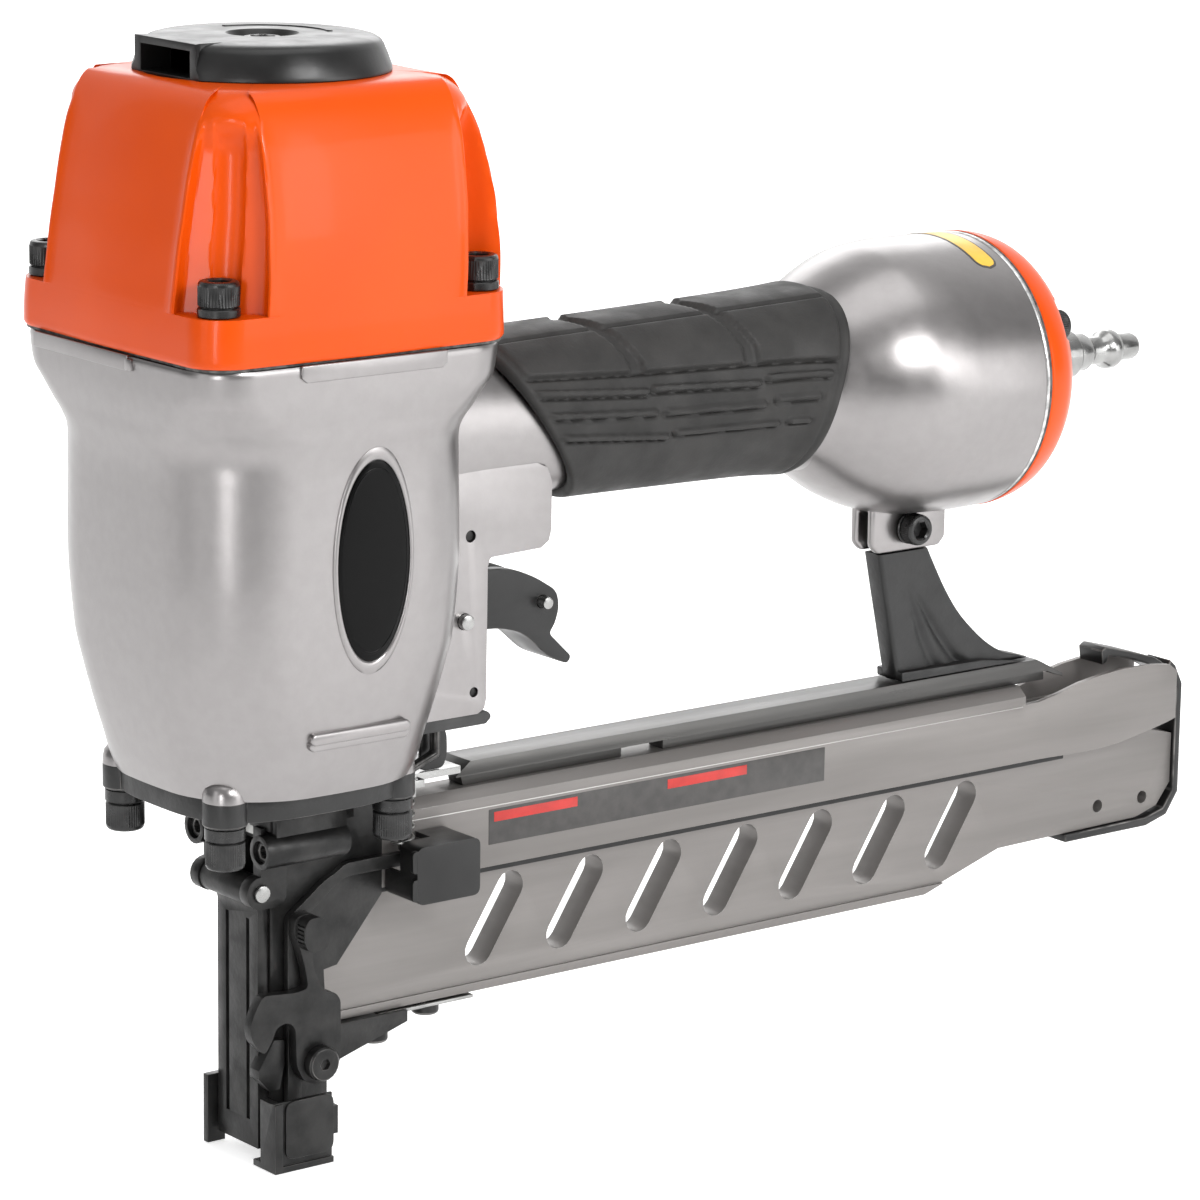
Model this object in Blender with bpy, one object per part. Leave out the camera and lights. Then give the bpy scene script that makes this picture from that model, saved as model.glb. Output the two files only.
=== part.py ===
"""Pneumatic nail gun, magazine-fed: an assembly of separate pieces, each one closed body.

All dimensions are in millimetres and are scaled to metres when a mesh is made.
+X runs from the nose towards the tail, +Z against the driving direction, +Y across.
The origin is on the flat bottom face of the nose, just behind the drive slot.
"""

import math

import bmesh
import bpy
from mathutils import Vector

MM = 0.001
ROUND = 28

# Head casting and cylinder cap: (height, half width, corner radius)
CASTING_SECTIONS = [
    (97.0, 33.0, 23.0),
    (101.0, 34.6, 24.0),
    (108.0, 36.4, 25.0),
    (118.0, 38.4, 26.0),
    (135.0, 40.2, 26.0),
    (160.0, 41.0, 26.0),
    (176.0, 41.4, 25.0),
    (184.0, 42.4, 20.0),
    (192.0, 44.0, 14.0),
    (197.0, 44.6, 10.0),
    (206.0, 44.8, 9.5),
]
CAP_SECTIONS = [
    (206.8, 44.8, 9.5, 0.0),
    (213.0, 44.5, 9.5, 0.0),
    (217.0, 44.3, 10.0, 0.2),
    (226.0, 44.1, 10.0, 0.8),
    (234.0, 43.6, 10.0, 1.2),
    (242.0, 42.7, 10.5, 1.7),
    (250.0, 41.5, 11.0, 1.8),
    (256.0, 40.2, 11.5, 1.9),
    (261.0, 38.9, 12.0, 1.9),
    (265.5, 37.5, 13.0, 1.8),
    (268.6, 35.6, 13.5, 1.7),
    (270.0, 33.0, 13.0, 1.5),
]
HEAD_X = 1.6
HEAD_AXIS = (HEAD_X, 0.0)
SEAM_Z = 206.0
CAP_SCREW_XY = 37.5
CAP_SCREW_SEAT_Z = 218.6
CAP_RECESS_R = 28.0
CAP_RECESS_Z = 267.0

# Cylinder, piston and valve gear
SLEEVE_R = (25.0, 27.5)
SLEEVE_Z = (104.4, 213.0)
PISTON_R = 24.7
PISTON_Z = (202.0, 212.0)
BUMPER_TOP = 121.6
BLADE_X = (-2.8, -1.2)
BLADE_HALF_W = 5.5
BLADE_TIP_Z = 80.0
HEAD_VALVE_Z = (213.4, 224.0)
MOUTH_X = -26.2
DEFLECTOR_TOP_Z = 279.2

# Handle and tail
HANDLE_STATIONS = [
    (30.0, 176.0, 19.5, 24.0),
    (56.0, 177.0, 19.0, 22.5),
    (80.0, 176.0, 17.0, 19.0),
    (115.0, 175.0, 16.0, 18.0),
    (150.0, 174.0, 16.5, 18.6),
    (166.0, 174.5, 18.5, 21.0),
    (182.0, 174.7, 22.0, 23.0),
]
TAIL_Z = 174.7
TAIL_PROFILE = [
    (168.0, 20.0),
    (176.0, 26.0),
    (184.0, 31.0),
    (194.0, 35.0),
    (206.0, 37.2),
    (218.0, 37.9),
    (229.0, 37.6),
]
END_CAP_PROFILE = [
    (230.2, 37.6),
    (233.5, 37.1),
    (237.5, 35.2),
    (241.5, 31.8),
    (245.0, 26.8),
    (248.0, 20.2),
    (250.0, 12.0),
    (250.6, 8.5),
]
END_SCREW_R = 27.8
PLUG_TIP_X = 295.6
BADGE_CENTRE = (5.6, 155.8)
BADGE_HALF = (10.6, 25.0)

# Trigger group
TRIGGER_PIVOT = (51.6, 129.9)
TRIP_PIVOT = (83.2, 129.3)
VALVE_X = 68.0
BOSS_HALF_W = 16.0
FORK_INNER = 12.6
ARM_SCREW = (209.6, 133.4)
LUG_HALF_W = 4.6
ARM_TONGUE_HALF_W = 1.9

# Nose
NOSE_HALF_W = 9.8
CHANNEL_HALF_W = 5.9
SLOT_X = (-3.1, -0.9)
DOOR_X = (-6.4, -3.4)
HINGE = (-7.9, 68.0)
LATCH_PIVOT = (7.6, 22.2)
TUBE_Y = 14.8
TUBE_Z = 79.2
BASE_SCREW_XY = (24.9, 22.6)
SAFETY_ROD = (36.8, -10.6)

# Magazine
CORE_HALF_W = 3.9
CORE_FRONT_X = 1.6
CORE_REAR_X = 313.2
CORE_Z = (28.0, 76.0)
SLOT_FIRST_X = 64.5
SLOT_PITCH = 26.35
SLOT_COUNT = 7
GUIDE_HALF_W = 7.5
GUIDE_INNER = 5.95
GUIDE_X = (31.8, 252.5, 309.0)
GUIDE_Z = (61.6, 83.0)
RAIL_X = (57.0, 268.0)
RAIL_HALF_W = 5.5
RAIL_TOP_Z = 90.0
LATCH_HINGE = (308.4, 80.6)

MATERIALS = {
    "cast_silver": ((0.62, 0.62, 0.64), 0.75, 0.34),
    "orange_gloss": ((0.85, 0.17, 0.01), 0.0, 0.16),
    "black_satin": ((0.02, 0.02, 0.022), 0.0, 0.4),
    "black_steel": ((0.03, 0.03, 0.032), 0.7, 0.42),
    "grip_rubber": ((0.025, 0.027, 0.03), 0.0, 0.75),
    "magazine_grey": ((0.27, 0.26, 0.26), 0.8, 0.42),
    "bright_steel": ((0.7, 0.7, 0.72), 1.0, 0.22),
    "spring_steel": ((0.4, 0.4, 0.42), 1.0, 0.3),
    "gasket": ((0.12, 0.12, 0.12), 0.0, 0.8),
    "bumper_rubber": ((0.05, 0.05, 0.05), 0.0, 0.7),
    "badge_black": ((0.01, 0.01, 0.01), 0.0, 0.25),
}


# Shapes: each is (points in mm, faces)


def skin(rings, closed_ends=True, loop=False):
    """Joins rings of the same count, in order, and caps the first and last."""
    count = len(rings[0])
    points = [tuple(p) for ring in rings for p in ring]
    faces = []
    for level in range(len(rings) - (0 if loop else 1)):
        low = level * count
        high = ((level + 1) % len(rings)) * count
        for i in range(count):
            j = (i + 1) % count
            faces.append([low + i, low + j, high + j, high + i])
    if closed_ends and not loop:
        faces.append(list(range(count))[::-1])
        faces.append([(len(rings) - 1) * count + i for i in range(count)])
    return points, faces


def place(axis, along, a, b):
    """A point from its place along an axis and its two other coordinates, in X, Y, Z order."""
    if axis == "X":
        return (along, a, b)
    if axis == "Y":
        return (a, along, b)
    return (a, b, along)


def prism(outline, axis, low, high):
    return skin([[place(axis, at, a, b) for a, b in outline] for at in (low, high)])


def box(x, y, z):
    return prism([(x[0], y[0]), (x[1], y[0]), (x[1], y[1]), (x[0], y[1])], "Z", z[0], z[1])


def circle(centre, radius, steps=ROUND, turn=0.0):
    angles = [2 * math.pi * i / steps + turn for i in range(steps)]
    return [(centre[0] + radius * math.cos(a), centre[1] + radius * math.sin(a)) for a in angles]


def rod(axis, centre, radius, low, high, steps=ROUND):
    return prism(circle(centre, radius, steps), axis, low, high)


def revolve(axis, centre, profile, steps=ROUND, ring=False):
    """Turns (place along the axis, radius) pairs about the axis. A ring profile is a closed loop."""
    rings = [[place(axis, at, a, b) for a, b in circle(centre, radius, steps)] for at, radius in profile]
    return skin(rings, loop=ring)


def rounded_square(half, corner, per_corner=6):
    outline = []
    for quarter in range(4):
        middle = quarter * math.pi / 2 + math.pi / 4
        reach = half - corner
        centre = (math.copysign(reach, math.cos(middle)), math.copysign(reach, math.sin(middle)))
        for step in range(per_corner):
            angle = quarter * math.pi / 2 + (math.pi / 2) * step / (per_corner - 1)
            outline.append((centre[0] + corner * math.cos(angle), centre[1] + corner * math.sin(angle)))
    return outline


def square_loft(sections, centre_x=0.0):
    rings = []
    for z, half, corner, *shift in sections:
        x = centre_x + sum(shift)
        rings.append([(x + a, b, z) for a, b in rounded_square(half, corner)])
    return skin(rings)


def oval_ring(x, z, half_w, half_h, steps=24, slant=0.0, power=0.8):
    ring = []
    for i in range(steps):
        angle = 2 * math.pi * i / steps
        c = math.cos(angle)
        s = math.sin(angle)
        y = half_w * math.copysign(abs(c) ** power, c)
        up = half_h * math.copysign(abs(s) ** power, s)
        ring.append((x - slant * up / half_h, y, z + up))
    return ring


def capsule(start, end, radius, steps=8):
    """The outline of a slot with round ends, between two centres."""
    angle = math.atan2(end[1] - start[1], end[0] - start[0])
    outline = []
    for centre, base in ((end, angle - math.pi / 2), (start, angle + math.pi / 2)):
        for i in range(steps + 1):
            a = base + math.pi * i / steps
            outline.append((centre[0] + radius * math.cos(a), centre[1] + radius * math.sin(a)))
    return outline


def tube_along(path, radius, sides=8):
    """A round bar along a path, with mitred bends."""
    line = [Vector(p) for p in path]
    rings = []
    reference = Vector((0.0, 1.0, 0.13)).normalized()
    for i, point in enumerate(line):
        back = (point - line[i - 1]).normalized() if i else (line[1] - point).normalized()
        ahead = (line[i + 1] - point).normalized() if i + 1 < len(line) else back
        tangent = (back + ahead).normalized()
        side = tangent.cross(reference).normalized()
        up = side.cross(tangent).normalized()
        stretch = 1.0 / max(0.5, math.cos(back.angle(ahead) / 2))
        rings.append(
            [
                tuple(point + radius * (math.cos(a) * side + stretch * math.sin(a) * up))
                for a in [2 * math.pi * k / sides for k in range(sides)]
            ]
        )
    return skin(rings)


def coil(axis, centre, radius, low, high, turns, wire, per_turn=12, sides=5):
    """A helical spring; its wire section stays in the plane of the axis and the radius."""
    rings = []
    total = int(turns * per_turn)
    for step in range(total + 1):
        angle = 2 * math.pi * step / per_turn
        along = low + wire + (high - low - 2 * wire) * step / total
        ring = []
        for k in range(sides):
            a = 2 * math.pi * k / sides
            r = radius + wire * math.cos(a)
            at = along + wire * math.sin(a)
            ring.append(place(axis, at, centre[0] + r * math.cos(angle), centre[1] + r * math.sin(angle)))
        rings.append(ring)
    return skin(rings)


# Objects


def clear_scene():
    for item in list(bpy.data.objects):
        bpy.data.objects.remove(item, do_unlink=True)


def material(name):
    found = bpy.data.materials.get(name)
    if found:
        return found
    colour, metallic, roughness = MATERIALS[name]
    made = bpy.data.materials.new(name)
    made.use_nodes = True
    shader = made.node_tree.nodes["Principled BSDF"]
    shader.inputs["Base Color"].default_value = (*colour, 1.0)
    shader.inputs["Metallic"].default_value = metallic
    shader.inputs["Roughness"].default_value = roughness
    return made


def make_object(name, shape, pivot=(0.0, 0.0, 0.0)):
    """A mesh object whose origin is at the pivot, with its faces turned outwards."""
    points, faces = shape
    mesh = bpy.data.meshes.new(name)
    mesh.from_pydata([[(p[i] - pivot[i]) * MM for i in range(3)] for p in points], [], faces)
    work = bmesh.new()
    work.from_mesh(mesh)
    bmesh.ops.remove_doubles(work, verts=work.verts, dist=1e-7)
    bmesh.ops.recalc_face_normals(work, faces=work.faces)
    work.to_mesh(mesh)
    work.free()
    item = bpy.data.objects.new(name, mesh)
    item.location = [v * MM for v in pivot]
    bpy.context.scene.collection.objects.link(item)
    return item


def combine(item, shape, operation):
    """Adds a Boolean modifier whose operand is a hidden helper."""
    helper = make_object(f"{item.name}_{operation.lower()}_{len(item.modifiers)}", shape)
    helper.hide_render = True
    helper.display_type = "WIRE"
    step = item.modifiers.new(operation.lower(), "BOOLEAN")
    step.operation = operation
    step.solver = "EXACT"
    step.object = helper


def piece(name, slot, shape, add=(), cut=(), pivot=(0.0, 0.0, 0.0), smooth=True):
    """One node: a starting shape, shapes fused to it, then shapes cut from it."""
    item = make_object(name, shape, pivot)
    item.data.materials.append(material(slot))
    for extra in add:
        combine(item, extra, "UNION")
    for hole in cut:
        combine(item, hole, "DIFFERENCE")
    if smooth:
        item.data.shade_smooth()
        item.data.set_sharp_from_angle(angle=math.radians(32))
    return item


def socket_screw(name, axis, centre, seat, sign, head, shank, slot="black_steel", socket=None):
    """A socket head cap screw: head = (radius, height), shank = (radius, length).

    The head is on the sign side of its seat.
    """
    head_r, head_h = head
    shank_r, shank_l = shank
    depth = head_h * 0.5
    socket_r = socket or head_r * 0.55
    profile = [
        (seat - sign * shank_l, shank_r),
        (seat, shank_r),
        (seat, head_r),
        (seat + sign * (head_h - 0.5), head_r),
        (seat + sign * head_h, head_r - 0.5),
    ]
    bottom = seat + sign * (head_h - depth)
    hole = prism(circle(centre, socket_r, 6), axis, bottom, seat + sign * (head_h + 1))
    piece(name, slot, revolve(axis, centre, profile, 20), cut=[hole])


# Head


def corners(at):
    return [(-at, -at), (at, -at), (-at, at), (at, at)]


def cap_screws():
    return [(HEAD_X + x, y) for x, y in corners(CAP_SCREW_XY)]


def build_casting():
    handle = skin([oval_ring(x, z, w, h) for x, z, w, h in HANDLE_STATIONS])
    tail = revolve("X", (0.0, TAIL_Z), TAIL_PROFILE, 36)
    block_outline = [(36, 146), (75, 146), (78.6, 149.5), (78.6, 170), (36, 170)]
    block = prism(block_outline, "Y", -BOSS_HALF_W, BOSS_HALF_W)
    fork_outline = [(30, 105.8), (56.5, 105.8), (58.4, 108), (58.8, 143)]
    fork_outline += [(60.5, 146.5), (60.5, 152), (30, 152)]
    fork = prism(fork_outline, "Y", -BOSS_HALF_W, BOSS_HALF_W)
    lug_outline = [(198.6, 127.0), (221.0, 127.0), (223.0, 129.0)]
    lug_outline += [(223.0, 146.0), (196.6, 146.0), (196.6, 129.0)]
    lug = prism(lug_outline, "Y", -LUG_HALF_W, LUG_HALF_W)
    bore = revolve(
        "Z",
        HEAD_AXIS,
        [(104.0, 29.0), (112.0, 31.5), (140.0, 36.0), (SEAM_Z + 5, 36.0)],
        28,
    )
    floor_hole = rod("Z", HEAD_AXIS, 11.0, 90.0, 110.0)
    passage_stations = HANDLE_STATIONS[:-1] + [(186.0, 174.7, 20.0, 22.0)]
    passage = skin([oval_ring(x, z, w - 4.5, h - 4.5) for x, z, w, h in passage_stations])
    chamber = revolve(
        "X", (0.0, TAIL_Z), [(180.0, 20.0), (190.0, 28.5), (204.0, 33.6), (235.0, 33.6)], 28
    )
    fork_gap = prism([(42.5, 100), (65, 100), (65, 145.6), (42.5, 145.6)], "Y", -FORK_INNER, FORK_INNER)
    arm_slot = box((190, 230), (-ARM_TONGUE_HALF_W - 0.2, ARM_TONGUE_HALF_W + 0.2), (120, 138.6))
    holes = [rod("Z", xy, 3.2, 193.2, 215.0, 10) for xy in cap_screws()]
    holes += [
        rod("Z", (sx * BASE_SCREW_XY[0], sy * BASE_SCREW_XY[1]), 3.2, 90.0, 103.0, 10)
        for sx in (-1, 1)
        for sy in (-1, 1)
    ]
    holes.append(rod("Y", TRIGGER_PIVOT, 2.15, -20.0, 20.0, 16))
    holes.append(rod("Y", ARM_SCREW, 2.7, -20.0, 20.0, 16))
    holes.append(rod("Z", (VALVE_X, 0.0), 8.3, 140.0, 165.0, 24))
    end_holes = [rod("X", end_screw(i), 2.3, 214.0, 235.0, 8) for i in range(3)]
    pads = [rod("X", end_screw(i), 6.8, 206.0, 228.9, 12) for i in range(3)]
    item = piece(
        "body_casting",
        "cast_silver",
        square_loft(CASTING_SECTIONS, HEAD_X),
        add=[handle, tail, block, fork, lug],
        cut=[bore, floor_hole, passage, chamber, fork_gap, arm_slot],
    )
    for pad in pads:
        combine(item, pad, "UNION")
    for hole in holes + end_holes:
        combine(item, hole, "DIFFERENCE")


def build_cap():
    hollow = revolve(
        "Z",
        HEAD_AXIS,
        [(200.0, 35.5), (228.0, 35.5), (246.0, 33.0), (258.0, 28.0), (262.0, 20.0)],
        32,
    )
    pockets = [
        skin(
            [
                [(x, y, CAP_SCREW_SEAT_Z) for x, y in circle((HEAD_X + sx * 38.4, sy * 38.4), 7.4, 20)],
                [(x, y, 269.0) for x, y in circle((HEAD_X + sx * 38.8, sy * 38.4), 6.8, 20)],
            ]
        )
        for sx, sy in corners(1)
    ]
    post = revolve("Z", HEAD_AXIS, [(250.0, 6.5), (265.0, 6.5)], 20)
    recess = revolve("Z", HEAD_AXIS, [(CAP_RECESS_Z, CAP_RECESS_R), (275.0, CAP_RECESS_R + 1.5)], 40)
    ports = [rod("Z", xy, 4.2, 255.0, 275.0, 10) for xy in circle(HEAD_AXIS, 13.5, 6)]
    shell = square_loft(CAP_SECTIONS, HEAD_X)
    item = piece("cylinder_cap", "orange_gloss", shell, cut=[hollow, *pockets, recess])
    combine(item, post, "UNION")
    for port in ports:
        combine(item, port, "DIFFERENCE")
    combine(item, rod("Z", HEAD_AXIS, 2.7, 252.0, 275.0, 14), "DIFFERENCE")
    for xy in cap_screws():
        combine(item, rod("Z", xy, 3.2, 200.0, 225.0, 16), "DIFFERENCE")
    for number, xy in enumerate(cap_screws(), 1):
        socket_screw(f"cap_screw_{number}", "Z", xy, CAP_SCREW_SEAT_Z + 0.1, 1, (5.0, 8.5), (2.9, 24.5))
    seal = square_loft([(SEAM_Z + 0.1, 44.2, 9.0), (SEAM_Z + 0.7, 44.2, 9.0)], HEAD_X)
    holes = [rod("Z", xy, 3.3, 200.0, 210.0, 16) for xy in cap_screws()]
    holes.append(rod("Z", HEAD_AXIS, 36.0, 200.0, 210.0))
    piece("cap_gasket", "gasket", seal, cut=holes, smooth=False)


def build_deflector():
    body = revolve(
        "Z",
        HEAD_AXIS,
        [(267.3, 27.6), (270.4, 27.8), (270.4, 31.2), (271.6, 31.4), (278.2, 28.2), (DEFLECTOR_TOP_Z, 26.8)],
        40,
    )
    mouth = box((MOUTH_X, 0.0), (-12.6, 12.6), (270.2, DEFLECTOR_TOP_Z))
    trim = box((-50.0, MOUTH_X), (-40.0, 40.0), (260.0, 290.0))
    duct = revolve("Z", HEAD_AXIS, [(260.0, 20.0), (270.0, 22.0), (276.2, 22.0)], 28)
    opening = box((-40.0, -8.0), (-10.8, 10.8), (270.9, 277.4))
    post = revolve("Z", HEAD_AXIS, [(267.3, 7.0), (277.6, 7.0)], 20)
    well = revolve("Z", HEAD_AXIS, [(276.0, 6.2), (281.0, 9.5)], 20)
    item = piece("exhaust_deflector", "black_satin", body, add=[mouth], cut=[trim, duct, opening])
    combine(item, post, "UNION")
    combine(item, well, "DIFFERENCE")
    combine(item, rod("Z", HEAD_AXIS, 2.75, 255.0, 285.0, 14), "DIFFERENCE")
    socket_screw("deflector_screw", "Z", HEAD_AXIS, 276.2, 1, (4.6, 3.0), (2.5, 20.0))


def build_cylinder():
    piece(
        "cylinder_sleeve",
        "bright_steel",
        revolve(
            "Z",
            HEAD_AXIS,
            [
                (SLEEVE_Z[0], SLEEVE_R[0]),
                (SLEEVE_Z[0], SLEEVE_R[1]),
                (150.0, SLEEVE_R[1]),
                (151.5, 35.7),
                (158.0, 35.7),
                (159.5, SLEEVE_R[1]),
                (SLEEVE_Z[1], SLEEVE_R[1]),
                (SLEEVE_Z[1], SLEEVE_R[0]),
            ],
            36,
            ring=True,
        ),
    )
    stem_cut = box((BLADE_X[0] - 0.1, BLADE_X[1] + 0.1), (-8.0, 8.0), (180.0, 200.1))
    piston = revolve(
        "Z",
        HEAD_AXIS,
        [
            (184.0, 6.6),
            (PISTON_Z[0], 7.0),
            (PISTON_Z[0], PISTON_R),
            (204.6, PISTON_R),
            (204.6, 22.0),
            (209.0, 22.0),
            (209.0, PISTON_R),
            (PISTON_Z[1], PISTON_R),
        ],
        36,
    )
    piece("piston", "bright_steel", piston, cut=[stem_cut])
    piece(
        "piston_ring",
        "bumper_rubber",
        revolve("Z", HEAD_AXIS, [(204.9, 22.3), (204.9, 24.8), (208.7, 24.8), (208.7, 22.3)], 36, ring=True),
    )
    piece(
        "driver_blade",
        "spring_steel",
        box(BLADE_X, (-BLADE_HALF_W, BLADE_HALF_W), (BLADE_TIP_Z, 200.0)),
        smooth=False,
    )
    piece(
        "bumper",
        "bumper_rubber",
        revolve(
            "Z",
            HEAD_AXIS,
            [(104.4, 9.0), (104.4, 24.3), (BUMPER_TOP - 6, 24.3), (BUMPER_TOP, 20.0), (BUMPER_TOP, 9.0)],
            32,
            ring=True,
        ),
    )
    low, high = HEAD_VALVE_Z
    piece(
        "head_valve",
        "bumper_rubber",
        revolve(
            "Z",
            HEAD_AXIS,
            [(low, 10.0), (low, 29.5), (low + 4, 33.5), (high - 3, 33.5), (high, 27.0), (high, 10.0)],
            32,
            ring=True,
        ),
    )
    piece("head_valve_spring", "spring_steel", coil("Z", HEAD_AXIS, 19.0, high + 0.3, 252.0, 4, 0.9, 10, 4))


# Handle and tail


def end_screw(index):
    angle = math.radians((150.0, 30.0, 270.0)[index])
    return (END_SCREW_R * math.cos(angle), TAIL_Z + END_SCREW_R * math.sin(angle))


def build_grip():
    stations = [
        (74.5, 176.8, 20.6, 22.4, 14.0),
        (84.0, 176.4, 20.3, 22.0, 12.0),
        (115.0, 175.2, 19.3, 21.2, 6.0),
        (148.0, 174.4, 19.8, 21.9, -2.0),
        (158.0, 175.2, 21.6, 23.8, -5.0),
        (165.5, 176.6, 24.0, 26.0, -7.5),
        (168.5, 177.0, 24.6, 26.4, -8.0),
    ]
    inner = [
        (48.0, 177.0, 19.8, 23.3, 0.0),
        (56.0, 177.0, 19.4, 22.9, 0.0),
        (80.0, 176.0, 17.4, 19.4, 0.0),
        (115.0, 175.0, 16.4, 18.4, 0.0),
        (150.0, 174.0, 16.9, 19.0, 0.0),
        (160.0, 174.3, 18.2, 20.6, 0.0),
        (184.0, 174.7, 31.2, 31.2, 0.0),
    ]
    outer_shape = skin([oval_ring(x, z, w, h, 32, s) for x, z, w, h, s in stations])
    inner_shape = skin([oval_ring(x, z, w, h, 32, s) for x, z, w, h, s in inner])
    piece("grip_sleeve", "grip_rubber", outer_shape, cut=[inner_shape])


def build_tail():
    shell = revolve("X", (0.0, TAIL_Z), END_CAP_PROFILE, 32)
    hollow = revolve("X", (0.0, TAIL_Z), [(225.0, 33.0), (233.0, 32.5), (243.0, 18.0)], 24)
    pads = [rod("X", end_screw(i), 6.0, 230.25, 239.5, 12) for i in range(3)]
    seats = [rod("X", end_screw(i), 5.6, 239.0, 256.0, 14) for i in range(3)]
    bores = [rod("X", end_screw(i), 2.3, 225.0, 256.0, 8) for i in range(3)]
    item = piece("end_cap", "orange_gloss", shell, cut=[hollow])
    for pad in pads:
        combine(item, pad, "UNION")
    for hole in seats + bores + [rod("X", (0.0, TAIL_Z), 6.4, 240.0, 256.0, 20)]:
        combine(item, hole, "DIFFERENCE")
    for index in range(3):
        socket_screw(f"end_cap_screw_{index + 1}", "X", end_screw(index), 239.2, 1, (4.2, 6.4), (2.0, 20.0))
    plug = [
        (241.0, 5.9),
        (251.4, 5.9),
        (251.4, 7.4),
        (262.0, 7.4),
        (263.0, 6.4),
        (271.0, 6.4),
        (272.0, 5.4),
        (276.5, 5.4),
        (278.0, 4.0),
        (282.5, 4.0),
        (284.0, 5.4),
        (287.0, 5.4),
        (288.5, 3.7),
        (294.6, 3.7),
        (PLUG_TIP_X, 3.2),
        (PLUG_TIP_X, 2.2),
        (243.0, 2.2),
        (243.0, 2.6),
        (241.0, 3.0),
    ]
    piece("air_plug", "bright_steel", revolve("X", (0.0, TAIL_Z), plug, 20, ring=True))
    piece("badge", "badge_black", badge_shape())


def barrel_half_width(z):
    for (z0, half0, _), (z1, half1, _) in zip(CASTING_SECTIONS, CASTING_SECTIONS[1:]):
        if z0 <= z <= z1:
            return half0 + (half1 - half0) * (z - z0) / (z1 - z0)
    raise ValueError(z)


def badge_shape():
    """A thin oval plate that follows the near side of the barrel, without any lettering."""
    rings = []
    for step in range(17):
        rise = -math.cos(math.pi * (step + 0.35) / 16.7)
        z = BADGE_CENTRE[1] + BADGE_HALF[1] * rise
        half = BADGE_HALF[0] * math.sqrt(1.0 - rise * rise)
        y = -barrel_half_width(z)
        left = BADGE_CENTRE[0] - half
        right = BADGE_CENTRE[0] + half
        rings.append([(left, y - 0.3, z), (right, y - 0.3, z), (right, y - 1.2, z), (left, y - 1.2, z)])
    return skin(rings)


# Trigger group


def build_trigger():
    px, pz = TRIGGER_PIVOT
    tx, tz = TRIP_PIVOT
    outline = [
        (47.5, 127.0),
        (48.0, 132.5),
        (52.0, 135.5),
        (60.0, 139.0),
        (66.0, 140.2),
        (72.0, 139.6),
        (79.0, 136.4),
        (85.0, 132.8),
        (87.2, 129.6),
        (86.2, 125.0),
        (85.0, 122.6),
        (94.6, 114.4),
        (94.0, 112.6),
        (92.4, 112.4),
        (82.0, 120.6),
        (74.0, 123.0),
        (64.0, 124.0),
        (52.0, 124.4),
    ]
    slot = prism([(55.5, 126.6), (80.0, 125.4), (90.0, 122.0), (90.0, 145.0), (55.5, 145.0)], "Y", -3.6, 3.6)
    piece(
        "trigger",
        "black_satin",
        prism(outline, "Y", -6.6, 6.6),
        cut=[slot, rod("Y", (px, pz), 2.15, -10.0, 10.0, 16), rod("Y", (tx, tz), 1.7, -10.0, 10.0, 14)],
        pivot=(px, 0.0, pz),
    )
    piece("trigger_pin", "bright_steel", rod("Y", (px, pz), 2.0, -17.8, 17.8, 18))
    piece("trip_pin", "bright_steel", rod("Y", (tx, tz), 1.6, -9.4, 9.4, 16))
    lever = [(61.0, 133.6), (61.5, 135.6), (70.0, 136.2), (82.0, 132.4)]
    lever += [(85.4, 130.8), (85.6, 127.6), (81.0, 127.0)]
    piece(
        "trip_lever",
        "black_steel",
        prism(lever, "Y", -2.4, 2.4),
        cut=[rod("Y", (tx, tz), 1.7, -10.0, 10.0, 14)],
        pivot=(tx, 0.0, tz),
        smooth=False,
    )
    housing = [(148.4, 8.0), (164.5, 8.0), (164.5, 3.2), (162.5, 3.2)]
    housing += [(162.5, 5.4), (151.0, 5.4), (151.0, 1.9), (148.4, 1.9)]
    piece("valve_housing", "bright_steel", revolve("Z", (VALVE_X, 0.0), housing, 20, ring=True))
    plunger = [(139.4, 1.2), (139.9, 1.6), (151.3, 1.6), (151.3, 5.2), (155.2, 5.2)]
    piece("valve_plunger", "bright_steel", revolve("Z", (VALVE_X, 0.0), plunger, 16))
    piece("valve_spring", "spring_steel", coil("Z", (VALVE_X, 0.0), 4.2, 155.4, 162.3, 3, 0.4, 8, 3))
    pad = [(36.5, 102.2), (59.0, 102.2), (60.6, 103.6), (60.6, 104.6), (59.4, 105.6), (36.5, 105.6)]
    piece(
        "boss_pad",
        "bumper_rubber",
        prism(pad, "Y", -15.6, 15.6),
        cut=[box((30.0, 48.8), (-12.9, -8.3), (95.0, 110.0)), cylinder_clear(101.5, 106.5)],
        smooth=False,
    )


def cylinder_clear(low, high):
    """The barrel's outside, grown a little, so that a plate behind it stops short."""
    return square_loft([(low, 37.2, 24.5), (high, 37.2, 24.5)], HEAD_X)


# Nose


def build_base():
    outline = []
    for x, y in rounded_square(1.0, 0.35, 5):
        outline.append((x * 32.0, y * 29.5))
    slot = box((SLOT_X[0] - 0.3, SLOT_X[1] + 0.3), (-6.1, 6.1), (85.0, 100.0))
    holes = [rod("Z", xy, 3.2, 85.0, 100.0, 16) for xy in base_screws()]
    piece("base_plate", "black_steel", prism(outline, "Z", 90.4, 96.7), cut=[slot, *holes], smooth=False)
    for number, xy in enumerate(base_screws(), 1):
        socket_screw(f"base_screw_{number}", "Z", xy, 90.2, -1, (4.9, 10.6), (2.9, 11.5))


def base_screws():
    x, y = BASE_SCREW_XY
    return [(-x, -y), (x, -y), (-x, y), (x, y)]


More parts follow.
